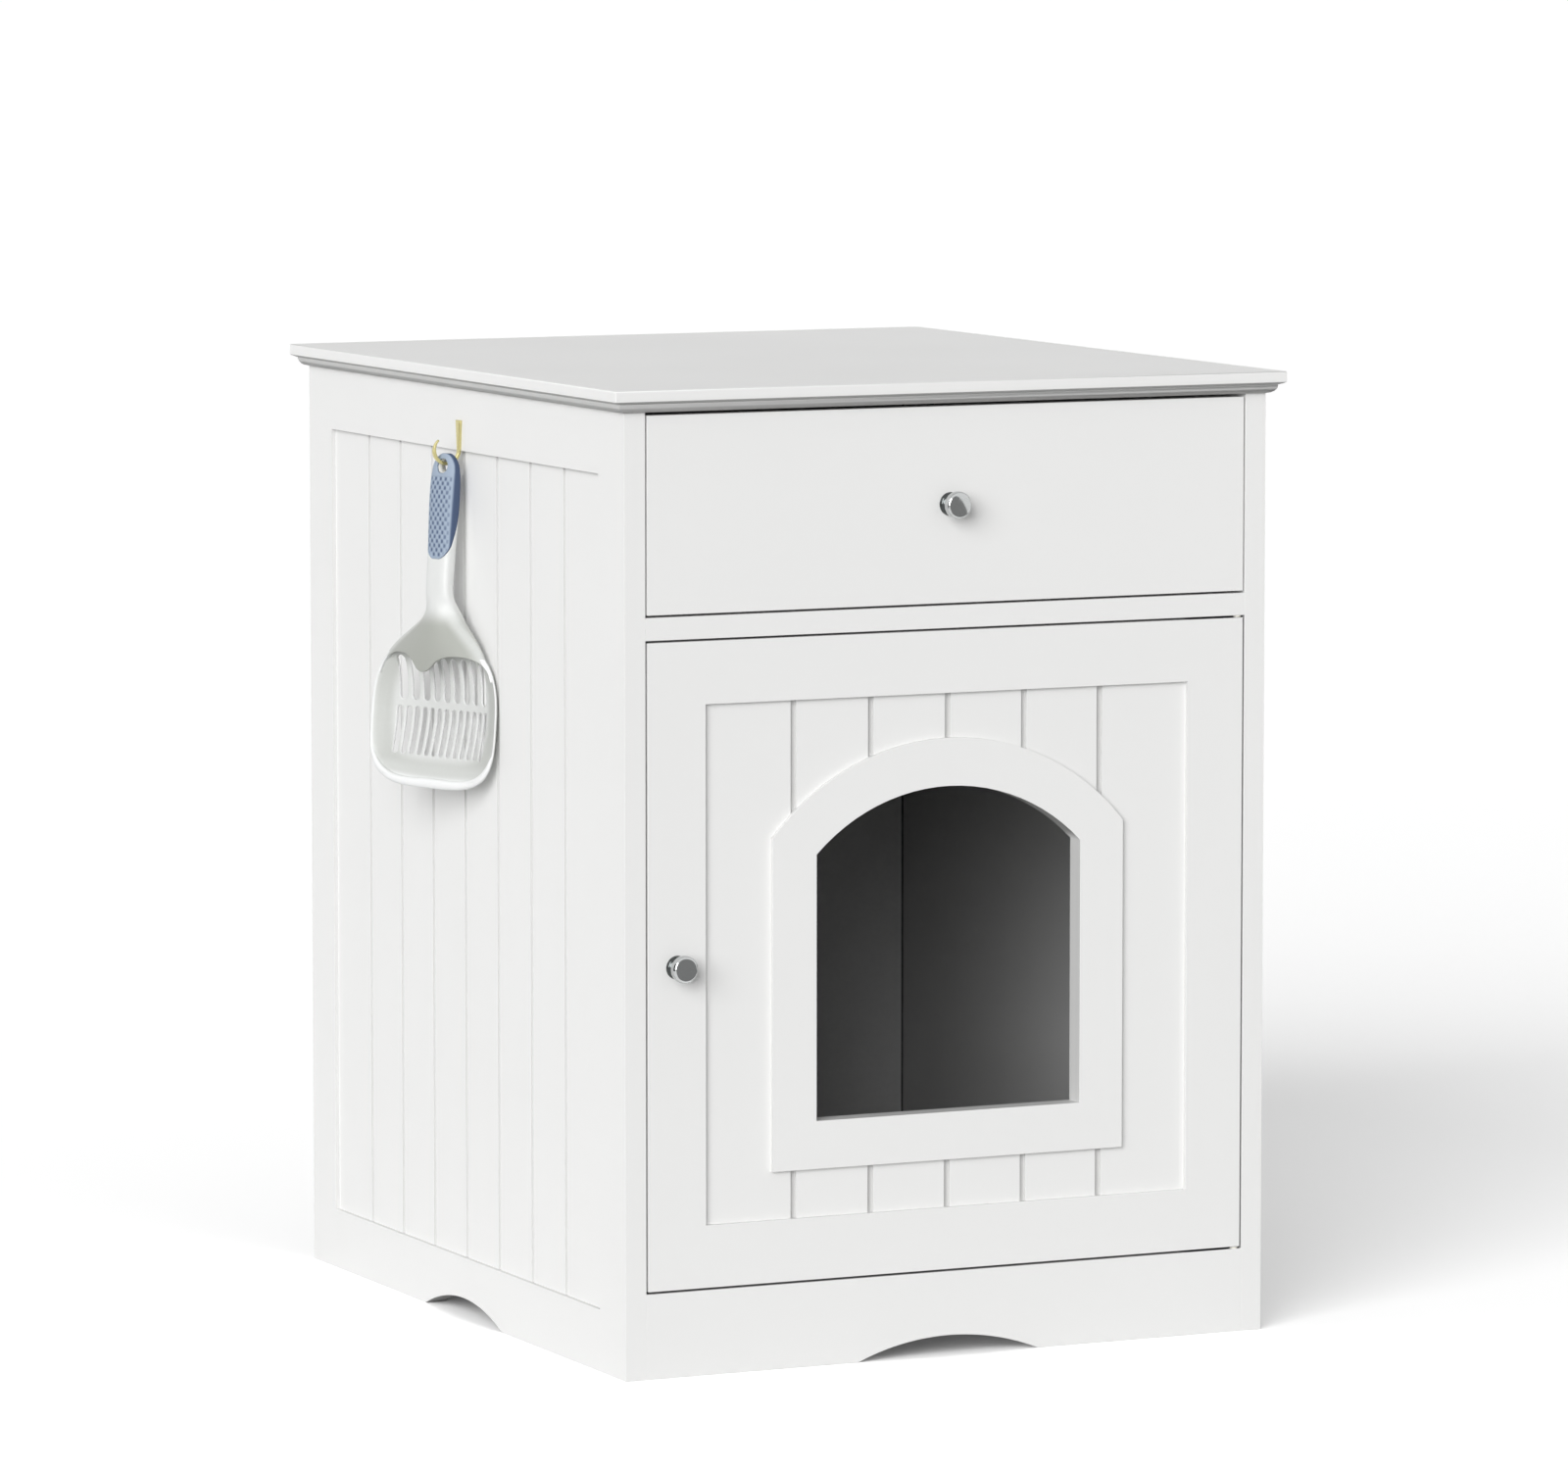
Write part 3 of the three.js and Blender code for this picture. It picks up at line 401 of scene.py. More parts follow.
def metalFinish(name, values):
    material, tree, surface, place = newFinish(name, {"Metallic": 1.0, "Roughness": values["roughness"]})
    grain = addNode(tree, "TexNoise", {"Scale": perMillimetre(values["grain"]), "Detail": 4.0},
                    {"Vector": place})
    tone = addNode(tree, "Mix", {"data_type": "RGBA", 6: linearColour(values["colour"]),
                                 7: linearColour(values["worn"])}, {0: grain.outputs["Fac"]})
    colour = tone.outputs[2]
    # painted dark reflection on the knob's neck, near the board
    if "neck" in values:
        spot = addNode(tree, "SeparateXYZ", None, {0: place})
        start, full = (doorFace - reach / 1000 for reach in values["neckFade"])
        reach = addNode(tree, "MapRange", {"From Min": start, "From Max": full}, {"Value": spot.outputs[1]})
        colour = addNode(tree, "Mix", {"data_type": "RGBA", 7: linearColour(values["neck"])},
                         {0: reach.outputs[0], 6: colour}).outputs[2]
    tree.links.new(colour, surface.inputs["Base Color"])
    wear = addNode(tree, "MapRange", {"To Min": values["roughness"] * 0.7,
                                      "To Max": values["roughness"] * 1.4},
                   {"Value": grain.outputs["Fac"]})
    tree.links.new(wear.outputs[0], surface.inputs["Roughness"])
    bump = addNode(tree, "Bump", {"Strength": values["bump"], "Distance": 0.0001},
                   {"Height": grain.outputs["Fac"]})
    tree.links.new(bump.outputs[0], surface.inputs["Normal"])
    return material


metalOf = {name: metalFinish(name, values) for name, values in metals.items()}


# Moulded and coated parts: colour, second tone, roughness and the grain of the mould or coat in mm.
# The last two are for the scoop's plain solids, which its own pieces replace below.
mouldings = {
    "runnerEnamel": {"colour": "#e9e9e6", "second": "#dededb", "roughness": 0.4, "grain": 1.5, "bump": 0.2},
    "mouldedNylon": {"colour": "#ebe8de", "second": "#e2dfd4", "roughness": 0.48, "grain": 1.2, "bump": 0.15},
    "sinteredFerrite": {"colour": "#38383a", "second": "#47474a", "roughness": 0.62, "grain": 0.8,
                        "bump": 0.4},
    "mouldedPolypropylene": {"colour": "#dfe3de", "second": "#d6dad5", "roughness": 0.38, "grain": 2.5,
                             "bump": 0.08},
    "softTouchRubber": {"colour": "#8397c3", "second": "#788cba", "roughness": 0.68, "grain": 1.2,
                        "bump": 0.2},
}


def mouldedFinish(name, values):
    material, tree, surface, place = newFinish(name, {"Roughness": values["roughness"], "IOR": 1.49})
    grain = addNode(tree, "TexNoise", {"Scale": perMillimetre(values["grain"]), "Detail": 3.0},
                    {"Vector": place})
    tone = addNode(tree, "Mix", {"data_type": "RGBA", 6: linearColour(values["colour"]),
                                 7: linearColour(values["second"])}, {0: grain.outputs["Fac"]})
    tree.links.new(tone.outputs[2], surface.inputs["Base Color"])
    bump = addNode(tree, "Bump", {"Strength": values["bump"], "Distance": 0.0001},
                   {"Height": grain.outputs["Fac"]})
    tree.links.new(bump.outputs[0], surface.inputs["Normal"])
    return material


mouldingOf = {name: mouldedFinish(name, values) for name, values in mouldings.items()}
finishOfSlot = {
    "white_paint": whiteBoard,
    "inner_board": innerBoard,
    "polished_chrome": metalOf["polishedChromePlate"],
    "zinc_steel": metalOf["zincPlatedSteel"],
    "brass": metalOf["satinBrass"],
    "runner_enamel": mouldingOf["runnerEnamel"],
    "nylon": mouldingOf["mouldedNylon"],
    "ferrite": mouldingOf["sinteredFerrite"],
    "scoop_plastic": mouldingOf["mouldedPolypropylene"],
    "grip_rubber": mouldingOf["softTouchRubber"],
}
boardOfNode = {
    "left_side_panel": sideBoard,
    "right_side_panel": sideBoard,
    "mid_shelf": carcassBoard,
    "front_apron": carcassBoard,
    "door_panel": doorBoard,
}


def setFinish(piece, material):
    piece.data.materials.clear()
    piece.data.materials.append(material)


slotOfNode = {part["node"]: part["material_slot"] for part in frame["record"]["subparts"]}
for nodeName, node in frame["nodes"].items():
    finish = finishOfSlot[slotOfNode[nodeName]]
    setFinish(node, boardOfNode.get(nodeName, finish))
print("finishes made and given to", len(frame["nodes"]), "nodes")

# ---- boards with eased edges: a CAD board's own shape with its corners broken as sanding leaves them
easedBoards = {          # mm off each edge
    "top_panel": 0.5,
    "left_side_panel": 0.18,
    "right_side_panel": 0.18,
    "mid_shelf": 0.18,
    "front_apron": 0.18,
    "door_panel": 0.18,
    "drawer_front": 0.18,
}


shortestEased = 0.006   # metres; shorter edges, such as a screw hole's facets, stay sharp


def easedCopy(nodeName, edge):
    source = frame["nodes"][nodeName]
    shape = bmesh.new()
    shape.from_mesh(source.data)
    bmesh.ops.remove_doubles(shape, verts=shape.verts, dist=2e-6)
    bmesh.ops.dissolve_limit(shape, angle_limit=math.radians(0.3), verts=shape.verts, edges=shape.edges)
    corners = [e for e in shape.edges if len(e.link_faces) == 2 and e.is_convex
               and e.calc_face_angle() > math.radians(25) and e.calc_length() > shortestEased]
    bmesh.ops.bevel(shape, geom=corners, offset=edge / 1000, segments=2, profile=0.5, affect="EDGES",
                    clamp_overlap=True)
    for face in shape.faces:
        face.smooth = True
    for side in shape.edges:
        side.smooth = len(side.link_faces) == 2 and side.calc_face_angle() < math.radians(50)
    mesh = bpy.data.meshes.new(nodeName + "_eased")
    shape.to_mesh(mesh)
    shape.free()
    piece = bpy.data.objects.new(nodeName + "_eased", mesh)
    bpy.context.scene.collection.objects.link(piece)
    mesh.materials.append(source.data.materials[0])
    flat = piece.modifiers.new("flatFaces", "WEIGHTED_NORMAL")
    flat.weight = 100
    flat.keep_sharp = True
    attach(piece, source["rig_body"])
    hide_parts(nodeName)


for nodeName, edge in easedBoards.items():
    easedCopy(nodeName, edge)
print("boards eased:", len(easedBoards))

# ---- turned knobs: a flat-faced disc with a rolled edge on a short neck and a small rose
knob = {
    "profile": [  # radius, reach from the board, mm
        (0, 0.05), (7.2, 0.05), (7.5, 0.35), (7.5, 1.5), (7.1, 2.1), (5.6, 2.9), (4.6, 4.2), (4.5, 5.6),
        (4.8, 7.2), (6.2, 8.4), (8.2, 9.1), (8.9, 9.8), (9.1, 10.8), (9.1, 12.4), (8.95, 13.4), (8.5, 14.4),
        (7.8, 15.0), (7.1, 15.25), (3.4, 15.42), (0, 15.46),
    ],
    "sides": 96,
}


def smoothLine(points, steps):   # a Catmull-Rom curve through the points
    line = []
    for i in range(len(points) - 1):
        before, here = points[max(i - 1, 0)], points[i]
        after, beyond = points[i + 1], points[min(i + 2, len(points) - 1)]
        for k in range(steps):
            t = k / steps
            line.append(tuple(
                0.5 * (2 * b + (c - a) * t + (2 * a - 5 * b + 4 * c - d) * t * t
                       + (3 * b - a - 3 * c + d) * t ** 3)
                for a, b, c, d in zip(before, here, after, beyond)))
    line.append(tuple(points[-1]))
    return line


def linkedPiece(name, mesh, material, body, slotName, *nodes):
    piece = bpy.data.objects.new(name, mesh)
    bpy.context.scene.collection.objects.link(piece)
    setFinish(piece, material)
    for face in mesh.polygons:
        face.use_smooth = True
    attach(piece, body)
    if nodes:
        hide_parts(*nodes)
    return piece


def turnedKnob(name, centre, body, node):
    profile = [(r, reach) for r, reach in smoothLine(knob["profile"], 3) if r > 0.02]
    shape = bmesh.new()
    rings = []
    for radius, reach in profile:
        rings.append([shape.verts.new((centre[0] + radius / 1000 * math.cos(a), centre[1] - reach / 1000,
                                       centre[2] + radius / 1000 * math.sin(a)))
                      for a in (2 * math.pi * i / knob["sides"] for i in range(knob["sides"]))])
    skinRings(shape, rings)
    mesh = bpy.data.meshes.new(name)
    shape.to_mesh(mesh)
    shape.free()
    return linkedPiece(name, mesh, metalOf["polishedChromePlate"], body, "polished_chrome", node)


def skinRings(shape, rings):
    count = len(rings[0])
    for lower, upper in zip(rings, rings[1:]):
        for i in range(count):
            shape.faces.new((lower[i], lower[(i + 1) % count], upper[(i + 1) % count], upper[i]))
    shape.faces.new(list(reversed(rings[0])))
    shape.faces.new(rings[-1])
    bmesh.ops.recalc_face_normals(shape, faces=shape.faces)


for name, node, body in (("door_knob_turned", "door_knob", "door"),
                         ("drawer_knob_turned", "drawer_knob", "drawer")):
    low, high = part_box(node)
    turnedKnob(name, ((low.x + high.x) / 2, high.y, (low.z + high.z) / 2), body, node)
print("knobs turned")

# ---- scoop, in its own frame: u across, v out of its face, w up from the hanging hole, all in mm
scoop = {
    "hangsAt": (-0.245, -0.24475, 0.5822),   # metres, the hanging hole's middle
    "turn": 111,          # degrees about the upright
    "lean": 4.8,          # degrees out from the board
    "handle": [           # w, half width, half thickness
        (-78, 10.4, 5.6), (-66, 10.5, 5.6), (-54, 10.7, 5.7), (-45, 11.0, 5.8), (-25, 11.6, 6.0),
        (-12, 11.6, 5.6), (-5, 11.3, 4.9), (0, 10.6, 4.3), (3.4, 9.0, 3.8), (6.4, 6.3, 3.2), (8.0, 3.4, 2.8),
        (8.4, 1.6, 2.6),
    ],
    "squareness": 0.6,    # of the handle's section: 1 round, towards 0 square
    "gripEnd": -64,
    "gripSkin": 1.3,
    "gripTongue": (11.2, 14),   # half width and drop of the grip's rounded end
    "holeRadius": 4.6,
    "holeFlare": 0.9,     # wider at both faces than in the middle
    "holeThroat": (3.4, 4.4),   # half length of the narrow part, and where the flare ends
    "middle": -172,       # w of the bowl's middle
    "halfWidth": 60.5,
    "halfHeight": 46,     # below the middle
    "topHalfHeight": 52,  # above it
    "topCorner": 0.5,     # squareness of the bowl's outline
    "bottomCorner": 0.56,
    "topTaper": 0.14,     # narrower towards the top, share of the width
    "tipRise": 0.42,      # shallower towards the tip, share of the depth
    "depth": 13,
    "wall": 2.0,
    "bead": {             # rolled rim round the bowl's lower half, radii in mm
        "from": -165, "sweep": 150, "across": 0.9, "swellAcross": 2.6, "out": 0.9, "swellOut": 1.7,
    },
    "upperSlots": {"count": 9, "pitch": 9.7, "width": 6.0, "top": -130, "bottom": -160},
    "lowerSlots": {"count": 13, "pitch": 6.9, "width": 4.2, "top": -164.5, "bottom": -197},
    "neck": [             # w, half width, rim height, crown height, wall, share of the hood's arched section
        (-70, 10.4, -5.6, 5.6, 9, 0.0), (-80, 10.4, -5.4, 5.5, 9, 0.0),
        (-88, 10.8, -5.0, 5.3, 9, 0.1), (-94, 12.2, -4.6, 5.4, 7.5, 0.45),
        (-100, 15.6, -4.2, 6.2, 5.6, 0.85), (-106, 21.5, -3.6, 7.4, 4.2, 1.0),
        (-113, 30.5, -2.6, 9.2, 3.2, 1.0), (-121, 40.0, -1.2, 11.0, 2.6, 1.0),
        (-129, 47.0, 0, 12.2, 2.4, 1.0), (-137, 51.8, 0, 12.8, 2.4, 1.0),
        (-144, 54.3, 0, 13.0, 2.4, 1.0), (-150, 55.8, 0, 13.0, 2.4, 1.0),
    ],
    "lip": [              # u, w along the hood's front edge
        (53.5, -143), (50.5, -136.5), (45, -131.5), (37, -128.6), (28, -127.8), (19, -128.6),
        (11.5, -132), (5.5, -137.6), (0, -139.6), (-5.5, -137.6), (-11.5, -132), (-19, -128.6),
        (-28, -127.8), (-37, -128.6), (-45, -131.5), (-50.5, -136.5), (-53.5, -143),
    ],
    "gripEdge": [         # v, w of the grip's lower edge, seen from the handle's side
        (-9, -16), (-6, -22), (-4, -33), (-1, -46), (2, -56), (4.5, -61.5), (9, -70),
    ],
    "voxel": 0.5,         # mm, the grain at which the moulding's parts melt into one skin
    "gripVoxel": 0.42,
    "gripRelief": 0.9,    # height of the moulded diamonds
    "gripRow": 3.0,
    "gripColumn": 4.7,
    "gripPatch": (10.2, -7.0, 2.0),   # the diamonds' half width, top, and margin at the grip's end
}
scoopPlace = (Matrix.Translation(scoop["hangsAt"]) @ Matrix.Rotation(math.radians(scoop["turn"]), 4, "Z")
              @ Matrix.Rotation(math.radians(scoop["lean"]), 4, "X") @ Matrix.Scale(0.001, 4))


def signedPower(value, power):
    return math.copysign(abs(value) ** power, value)


def scratchPiece(name, rings):
    shape = bmesh.new()
    skinRings(shape, [[shape.verts.new(point) for point in ring] for ring in rings])
    mesh = bpy.data.meshes.new(name)
    shape.to_mesh(mesh)
    shape.free()
    piece = bpy.data.objects.new(name, mesh)
    bpy.context.scene.collection.objects.link(piece)
    return piece


def prismAlongV(name, outline, start, end):
    return scratchPiece(name, [[(u, v, w) for u, w in outline] for v in (start, end)])


def settled(piece):
    graph = bpy.context.evaluated_depsgraph_get()
    mesh = bpy.data.meshes.new_from_object(piece.evaluated_get(graph))
    piece.modifiers.clear()
    piece.data = mesh
    return piece


def cutWith(piece, operation, tool):
    step = piece.modifiers.new("cut", "BOOLEAN")
    step.operation = operation
    step.solver = "EXACT"
    step.object = tool
    settled(piece)
    bpy.data.objects.remove(tool)
    return piece


def joined(pieces):
    shape = bmesh.new()
    for piece in pieces:
        shape.from_mesh(piece.data)
    shape.to_mesh(pieces[0].data)
    shape.free()
    for piece in pieces[1:]:
        bpy.data.objects.remove(piece)
    return pieces[0]


def melted(piece, voxel, rounds):
    remesh = piece.modifiers.new("oneSkin", "REMESH")
    remesh.mode = "VOXEL"
    remesh.voxel_size = voxel
    smooth = piece.modifiers.new("softCorners", "SMOOTH")
    smooth.factor = 0.5
    smooth.iterations = rounds
    return settled(piece)


def squaredRing(wide, thick, w):
    power = scoop["squareness"]
    return [(wide * signedPower(math.cos(a), power), thick * signedPower(math.sin(a), power), w)
            for a in (2 * math.pi * i / 48 for i in range(48))]


def handleRings(skin):
    rings = []
    for w, halfWidth, halfThick in smoothLine(scoop["handle"], 8):
        height = min(w, 8.4 - skin)
        if not rings or height > rings[-1][0][2]:
            rings.append(squaredRing(max(halfWidth - skin, 0.3), max(halfThick - skin, 0.3), height))
    return rings


# The part of the handle that the grip covers: a rounded end in front, drawn up along the sides to the back.
def gripRoom(spare, name):
    halfWide, tongue = scoop["gripTongue"]
    radius = halfWide + spare
    drop = tongue + spare
    low = scoop["gripEnd"] + tongue
    arc = [(radius * math.cos(a), low + drop * math.sin(a))
           for a in (math.radians(180 + 180 * i / 32) for i in range(33))]
    room = prismAlongV(name, [(20, 20), (-20, 20), (-20, low), *arc, (20, low)], -20, 20)
    edge = [(v, w - spare) for v, w in smoothLine(scoop["gripEdge"], 4)]
    outline = [(20, 25), (-20, 25), (-20, edge[0][1]), *edge, (20, edge[-1][1])]
    side = scratchPiece(name + "Side", [[(u, v, w) for v, w in outline] for u in (-30, 30)])
    return cutWith(room, "INTERSECT", side)


def hourglass(name, radius):
    rings = []
    flare = scoop["holeFlare"]
    throat, mouth = scoop["holeThroat"]
    for v, extra in ((-20, flare), (-mouth, flare), (-throat, 0), (throat, 0), (mouth, flare), (20, flare)):
        rings.append([((radius + extra) * math.cos(a), v, (radius + extra) * math.sin(a))
                      for a in (2 * math.pi * i / 40 for i in range(40))])
    return scratchPiece(name, rings)


def bowlPoint(share, angle, depth):
    upward = math.sin(angle) > 0
    power = scoop["topCorner"] if upward else scoop["bottomCorner"]
    reach = scoop["topHalfHeight"] if upward else scoop["halfHeight"]
    w = share * signedPower(math.sin(angle), power) * reach
    taper = 1 - scoop["topTaper"] * (w / scoop["topHalfHeight"]) ** 2 if upward else 1
    shallow = 1 if upward else 1 + scoop["tipRise"] * w / scoop["halfHeight"]
    u = share * scoop["halfWidth"] * signedPower(math.cos(angle), power) * taper
    return (u, -depth * shallow, scoop["middle"] + w)


def bowlShell():
    count = 144
    shares = [0.03, 0.15, 0.3, 0.42, 0.54, 0.64, 0.72, 0.79, 0.85, 0.9, 0.94, 0.97, 1.0]   # middle to rim

    def ring(share, extra):
        depth = scoop["depth"] * (1 - share ** 3.2) + extra
        return [bowlPoint(share, 2 * math.pi * (i + 0.5) / count, depth) for i in range(count)]
    front = [ring(share, 0) for share in shares]
    behind = [ring(share, scoop["wall"]) for share in reversed(shares)]
    return scratchPiece("bowlShell", front + behind)


def slotCutters(row, name):
    radius = row["width"] / 2
    cutters = []
    for i in range(row["count"]):
        u = (i - (row["count"] - 1) / 2) * row["pitch"]
        top = [(u + radius * math.cos(a), row["top"] - radius + radius * math.sin(a))
               for a in (math.pi * k / 8 for k in range(9))]
        bottom = [(u + radius * math.cos(a), row["bottom"] + radius + radius * math.sin(a))
                  for a in (math.pi + math.pi * k / 8 for k in range(9))]
        cutters.append(prismAlongV(name, top + bottom, -40, 2))
    return joined(cutters)


def neckAndHood():
    rings = []
    power = scoop["squareness"]
    for w, halfWidth, edge, crown, wall, hooded in smoothLine(scoop["neck"], 6):
        ring = []
        for i in range(96):
            angle = 2 * math.pi * i / 96
            share = signedPower(math.cos(angle), power * (1 - hooded) + hooded * 0.9)
            thick = (crown - edge) / 2
            plain = (edge + crown) / 2 + thick * signedPower(math.sin(angle), power)
            arched = edge + (crown - edge) * (1 - share ** 2)
            if math.sin(angle) < -1e-6:
                arched -= wall
            ring.append((halfWidth * share, plain + (arched - plain) * hooded, w))
        rings.append(ring)
    lip = smoothLine(scoop["lip"], 4)
    below = prismAlongV("belowLip", [(75, -143), *lip, (-75, -143), (-75, -165), (75, -165)], -30, 60)
    return cutWith(scratchPiece("neckAndHood", rings), "DIFFERENCE", below)


def lipBead():
    bead = scoop["bead"]
    rings = []
    steps = 60
    for k in range(steps + 1):
        angle = math.radians(bead["from"] + bead["sweep"] * k / steps)
        swell = math.sin(math.pi * k / steps) ** 0.7   # thickest at the tip
        across = bead["across"] + bead["swellAcross"] * swell
        out = bead["out"] + bead["swellOut"] * swell
        edge = Vector(bowlPoint(1, angle, 0))
        centre = Vector((0, 0, scoop["middle"]))
        inward = (centre - edge)
        inward.y = 0
        inward.normalize()
        middle = edge + inward * across * 0.92
        middle.y = -0.6 - 0.6 * swell
        rings.append([tuple(middle + inward * across * math.cos(a) + Vector((0, out * math.sin(a), 0)))
                      for a in (2 * math.pi * i / 20 for i in range(20))])
    return scratchPiece("lipBead", rings)


# Painted light and shade on the moulding, set to read as the photograph does: lighter on the lip, rim, neck,
# slotted floor and slots' walls, darker on the hood and the bowl's sides. They are not wear or another
# plastic.
# Each pair says where a tone starts and where it is full, in mm of the scoop's own frame.
toneAreas = {
    "lip": {"w": (-207, -213), "v": (-5, -2)},
    "rim": {"below": (-1.6, -0.4), "above": (1.6, 0.9), "top": -128},
    "slotWalls": {"normal": (0.75, 0.4), "behind": -6, "halfWidth": 47, "w": (-199, -128)},
    "slottedFloor": {"u": (50, 45), "tip": (-205, -198), "top": (-122, -130), "v": (-5, -9), "amount": 0.3},
    "neck": {"w": (-108, -90), "amount": 0.55},
    "hood": {"w": (-94, -110), "v": (0.5, 5)},
    "bowlSide": {"rim": (-1, -3), "floor": (-9, -6), "w": (-206, -198), "amount": 0.35},
}


def toneOf(name, mesh, rule):
    tone = mesh.attributes.new(name, "FLOAT", "POINT")
    for vertex in mesh.vertices:
        tone.data[vertex.index].value = min(max(rule(vertex.co, vertex.normal), 0), 1)


def ramp(value, start, full):
    share = min(max((value - start) / (full - start), 0), 1)
    return share * share * (3 - 2 * share)


def paintedLight(co, normal):   # painted light: lighter on the lip, rim, neck, slotted floor and the slots' walls
    u, v, w = co
    area = toneAreas["lip"]
    lip = ramp(w, *area["w"]) * ramp(v, *area["v"])
    area = toneAreas["rim"]
    rim = 0.9 * ramp(v, *area["below"]) * ramp(v, *area["above"]) if w < area["top"] else 0
    area = toneAreas["slotWalls"]
    low, high = area["w"]
    inSlots = v < area["behind"] and abs(u) < area["halfWidth"] and low < w < high
    wall = ramp(abs(normal.y), *area["normal"]) if inSlots else 0
    area = toneAreas["slottedFloor"]
    slotted = ramp(abs(u), *area["u"]) * ramp(w, *area["tip"]) * ramp(w, *area["top"]) * ramp(v, *area["v"])
    neck = toneAreas["neck"]["amount"] * ramp(w, *toneAreas["neck"]["w"])
    return max(lip, rim, wall, area["amount"] * slotted, neck)


def paintedShade(co, normal):   # painted shade: darker on the hood, and the bowl's sides between rim and floor
    u, v, w = co
    area = toneAreas["hood"]
    hood = ramp(w, *area["w"]) * ramp(v, *area["v"])
    area = toneAreas["bowlSide"]
    side = ramp(v, *area["rim"]) * ramp(v, *area["floor"]) * ramp(w, *area["w"])
    return max(hood, area["amount"] * side)


def gripSideShade(co, normal):   # painted shade: darker on all of the grip but its face
    return 1 - ramp(normal.y, 0.2, 0.75) * ramp(co.y, 0.5, 2.5)


def makeScoop():
    bowl = cutWith(bowlShell(), "DIFFERENCE", joined([slotCutters(scoop["upperSlots"], "upperSlots"),
                                                      slotCutters(scoop["lowerSlots"], "lowerSlots")]))
    core = scratchPiece("handleCore", handleRings(scoop["gripSkin"] + 0.1))
    handle = cutWith(scratchPiece("handle", handleRings(0)), "DIFFERENCE", gripRoom(0.15, "gripRoomOutside"))
    body = melted(joined([bowl, neckAndHood(), lipBead(), core, handle]), scoop["voxel"], 3)
    body = cutWith(body, "DIFFERENCE", hourglass("hangingHole", scoop["holeRadius"]))
    sleeve = cutWith(scratchPiece("sleeve", handleRings(0)), "INTERSECT", gripRoom(-0.15, "gripRoomInside"))
    sleeve = cutWith(sleeve, "DIFFERENCE", scratchPiece("sleeveCore", handleRings(scoop["gripSkin"])))
    sleeve = cutWith(sleeve, "DIFFERENCE", hourglass("gripHole", scoop["holeRadius"]))
    sleeve = melted(sleeve, scoop["gripVoxel"], 2)
    raiseDiamonds(sleeve.data)
    # painted light and painted shade on the moulding, and painted shade on the grip's sides
    toneOf("light", body.data, paintedLight)
    toneOf("dark", body.data, paintedShade)
    toneOf("side", sleeve.data, gripSideShade)
    for scratch, name, finish, slotName, node in (
            (body, "scoop_moulding", scoopPlastic, "scoop_plastic", "scoop_body"),
            (sleeve, "scoop_grip_sleeve", gripRubber, "grip_rubber", "scoop_grip")):
        mesh = scratch.data
        mesh.transform(scoopPlace)
        mesh.materials.clear()
        bpy.data.objects.remove(scratch)
        mesh.name = name
        linkedPiece(name, mesh, finish, "scoop", slotName, node)


def raiseDiamonds(mesh):   # and mark the hollows between them for painted shade
    halfWidth, top, margin = scoop["gripPatch"]
    hollow = mesh.attributes.new("hollow", "FLOAT", "POINT")
    for vertex in mesh.vertices:
        u, v, w = vertex.co
        if v < 1.5 or vertex.normal.y < 0.5:
            continue
        inset = min(halfWidth - abs(u), w - scoop["gripEnd"] - margin - max(abs(u) - 4, 0) * 0.9, top - w)
        share = min(max(inset, 0), 1) * min(max((vertex.normal.y - 0.5) / 0.3, 0), 1)
        if share <= 0:
            continue
        a = u / scoop["gripColumn"] + w / (2 * scoop["gripRow"])
        b = u / scoop["gripColumn"] - w / (2 * scoop["gripRow"])
        wave = 0.5 * (math.cos(2 * math.pi * a) + math.cos(2 * math.pi * b))
        vertex.co.y += scoop["gripRelief"] * share * (wave * 0.5 - 0.5)
        # painted shade in the hollows between the diamonds
        hollow.data[vertex.index].value = share * ramp(-wave, -0.3, 0.9)


# The bowl is moulded polypropylene with a soft gloss; the grip is matt thermoplastic rubber, moulded over it.
# lightened and darkened are painted light and shade on the moulding, laid where toneAreas says; gripSideShade
# is painted shade on the grip's sides and gripHollowShade painted shade in the hollows between its diamonds.
scoopTones = {
    "plastic": "#c6c8c5",
    "paintedLight": "#eceded",
    "paintedShade": "#a4a6a0",
    "plasticRoughness": 0.4,
    "grip": "#98a6b8",
    "gripSideShade": "#435472",
    "gripHollowShade": "#495975",
    "gripRoughness": 0.7,
    "mouldGrain": 2.5,    # mm
}


def tonedFinish(name, base, others, roughness, bumpStrength):
    material, tree, surface, place = newFinish(name, {"Roughness": roughness, "IOR": 1.49})
    grain = addNode(tree, "TexNoise", {"Scale": perMillimetre(scoopTones["mouldGrain"]), "Detail": 3.0},
                    {"Vector": place})
    lightness = addNode(tree, "MapRange", {"To Min": 0.97, "To Max": 1.03}, {"Value": grain.outputs["Fac"]})
    colour = addNode(tree, "Mix", {"data_type": "RGBA", "blend_type": "MULTIPLY", 0: 1.0,
                                   6: linearColour(base)}, {7: lightness.outputs[0]}).outputs[2]
    for attribute, hexText in others:
        amount = addNode(tree, "Attribute", {"attribute_name": attribute})
        colour = addNode(tree, "Mix", {"data_type": "RGBA", 7: linearColour(hexText)},
                         {0: amount.outputs["Fac"], 6: colour}).outputs[2]
    tree.links.new(colour, surface.inputs["Base Color"])
    bump = addNode(tree, "Bump", {"Strength": bumpStrength, "Distance": 0.0001},
                   {"Height": grain.outputs["Fac"]})
    tree.links.new(bump.outputs[0], surface.inputs["Normal"])
    return material


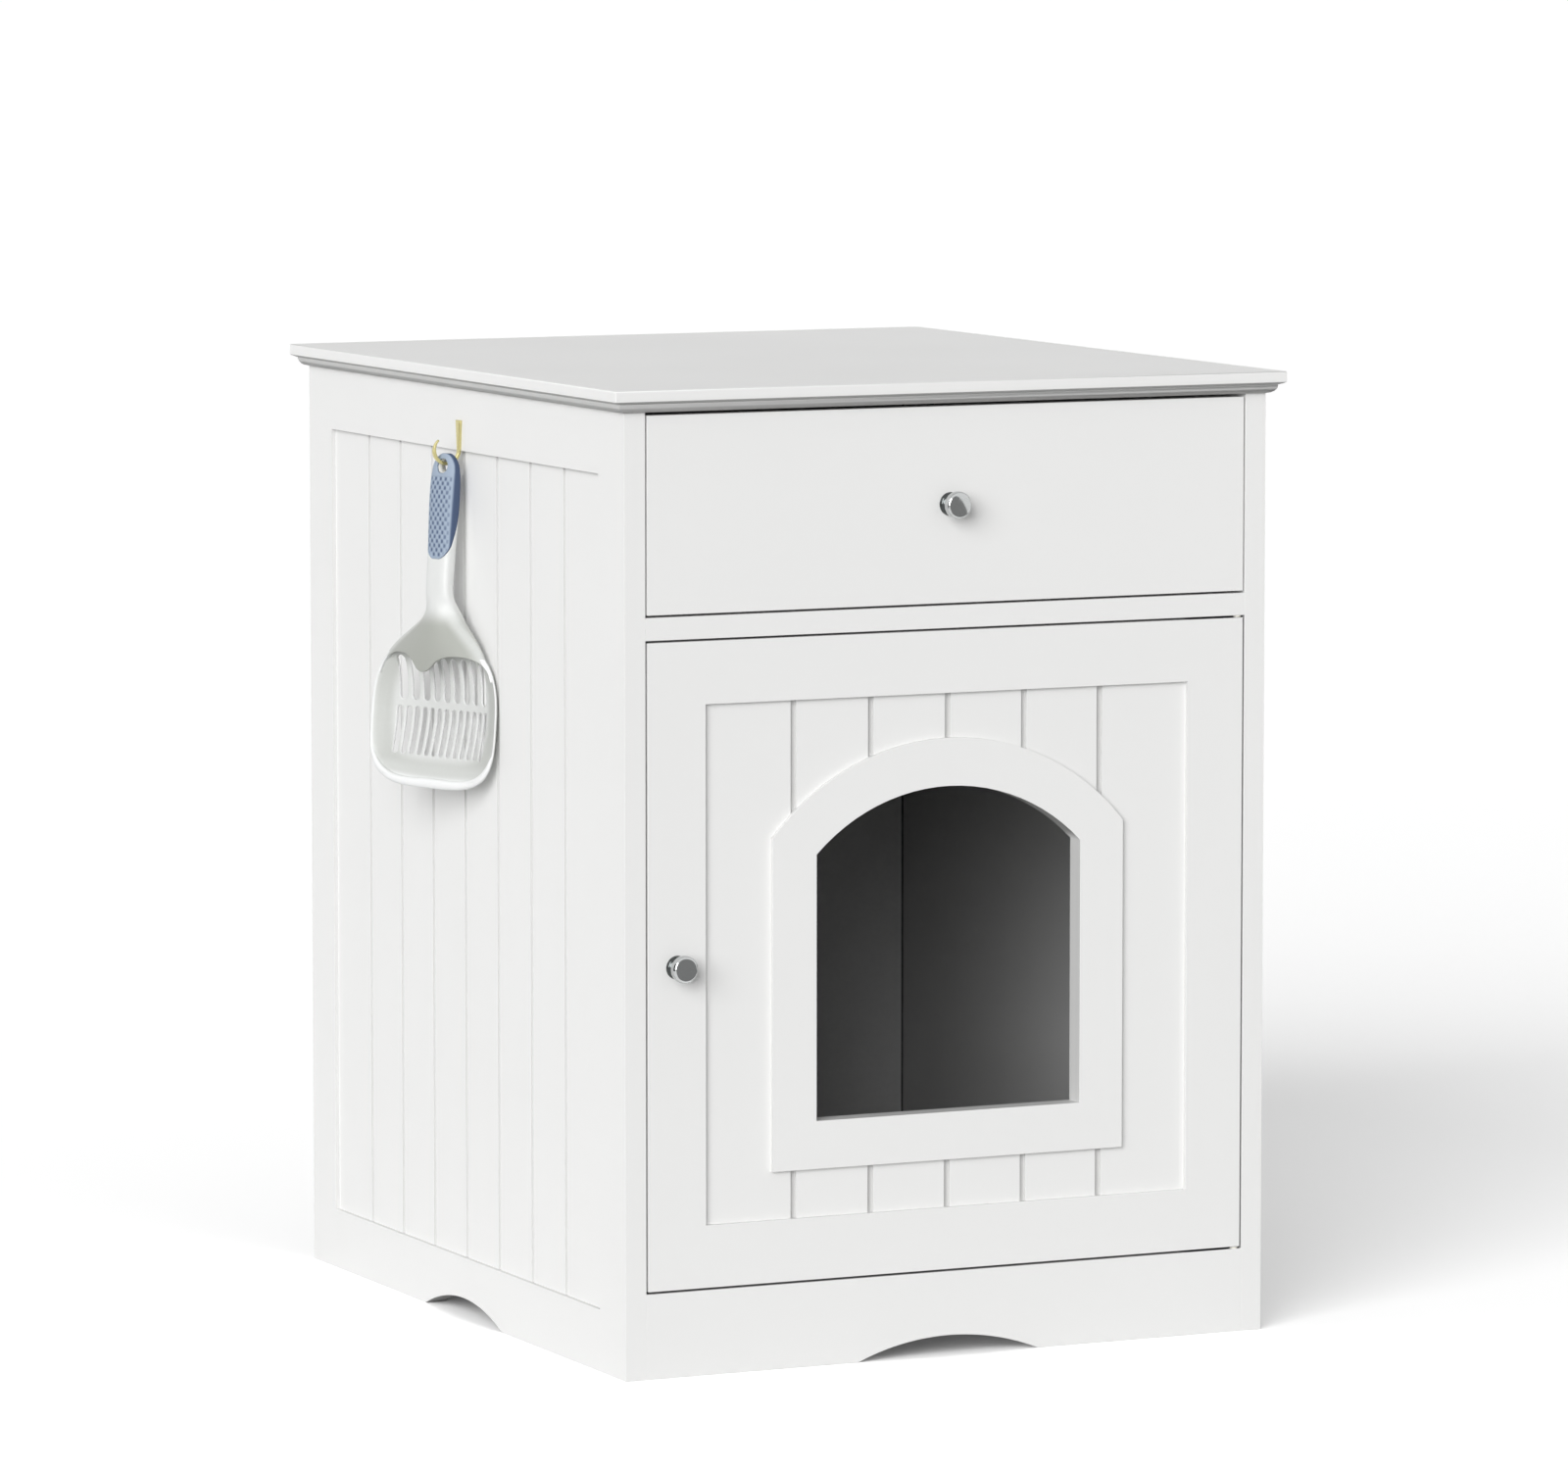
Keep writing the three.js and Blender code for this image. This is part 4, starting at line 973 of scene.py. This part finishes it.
scoopPlastic = tonedFinish("mouldedPolypropyleneScoop", scoopTones["plastic"],
                           (("dark", scoopTones["paintedShade"]), ("light", scoopTones["paintedLight"])),
                           scoopTones["plasticRoughness"], 0.08)
gripRubber = tonedFinish("softRubberGrip", scoopTones["grip"],
                         (("side", scoopTones["gripSideShade"]), ("hollow", scoopTones["gripHollowShade"])),
                         scoopTones["gripRoughness"], 0.2)
makeScoop()
print("scoop moulded")

# ---- hook: a flat brass strip bent into an open ring, its stem flared towards the top
hook = {
    "radius": 9.0,
    "thick": 2.2,
    "stemWidth": 7.6,     # at the top
    "ringWidth": 3.6,     # where the ring starts
    "tipWidth": 3.2,      # a little way round, before it thins to the tip
    "stemTop": 612.6,
    "ringHeight": 592.6,
    "tip": 230,           # degrees of bend from the stem to the curled tip
    "side": -236.0,       # x of the strip's middle on the board
    "middleY": -244.75,
}


def bentHook():
    stations = []
    for k in range(13):
        t = k / 12
        z = hook["stemTop"] + (hook["ringHeight"] - hook["stemTop"]) * t
        width = hook["stemWidth"] - (hook["stemWidth"] - hook["ringWidth"]) * t ** 0.8
        stations.append(((hook["side"], z), (1, 0), width, hook["thick"]))
    for k in range(1, 61):
        t = k / 60
        a = -math.radians(hook["tip"]) * t
        spot = (hook["side"] - hook["radius"] + hook["radius"] * math.cos(a),
                hook["ringHeight"] + hook["radius"] * math.sin(a))
        thin = 1 - 0.45 * max(t - 0.75, 0) / 0.25
        width = hook["ringWidth"] - (hook["ringWidth"] - hook["tipWidth"]) * min(t * 3, 1)
        stations.append((spot, (math.cos(a), math.sin(a)), width * thin, hook["thick"] * thin))
    rings = []
    for (x, z), (nx, nz), width, thick in stations:
        ring = []
        for i in range(24):
            angle = 2 * math.pi * i / 24
            out = thick / 2 * signedPower(math.cos(angle), 0.35)
            across = width / 2 * signedPower(math.sin(angle), 0.35)
            ring.append(((x + nx * out) / 1000, (hook["middleY"] + across) / 1000, (z + nz * out) / 1000))
        rings.append(ring)
    shape = bmesh.new()
    skinRings(shape, [[shape.verts.new(point) for point in ring] for ring in rings])
    mesh = bpy.data.meshes.new("scoop_hook_bent")
    shape.to_mesh(mesh)
    shape.free()
    return linkedPiece("scoop_hook_bent", mesh, metalOf["satinBrass"], "cabinet", "brass", "scoop_hook")


bentHook()
print("hook bent")
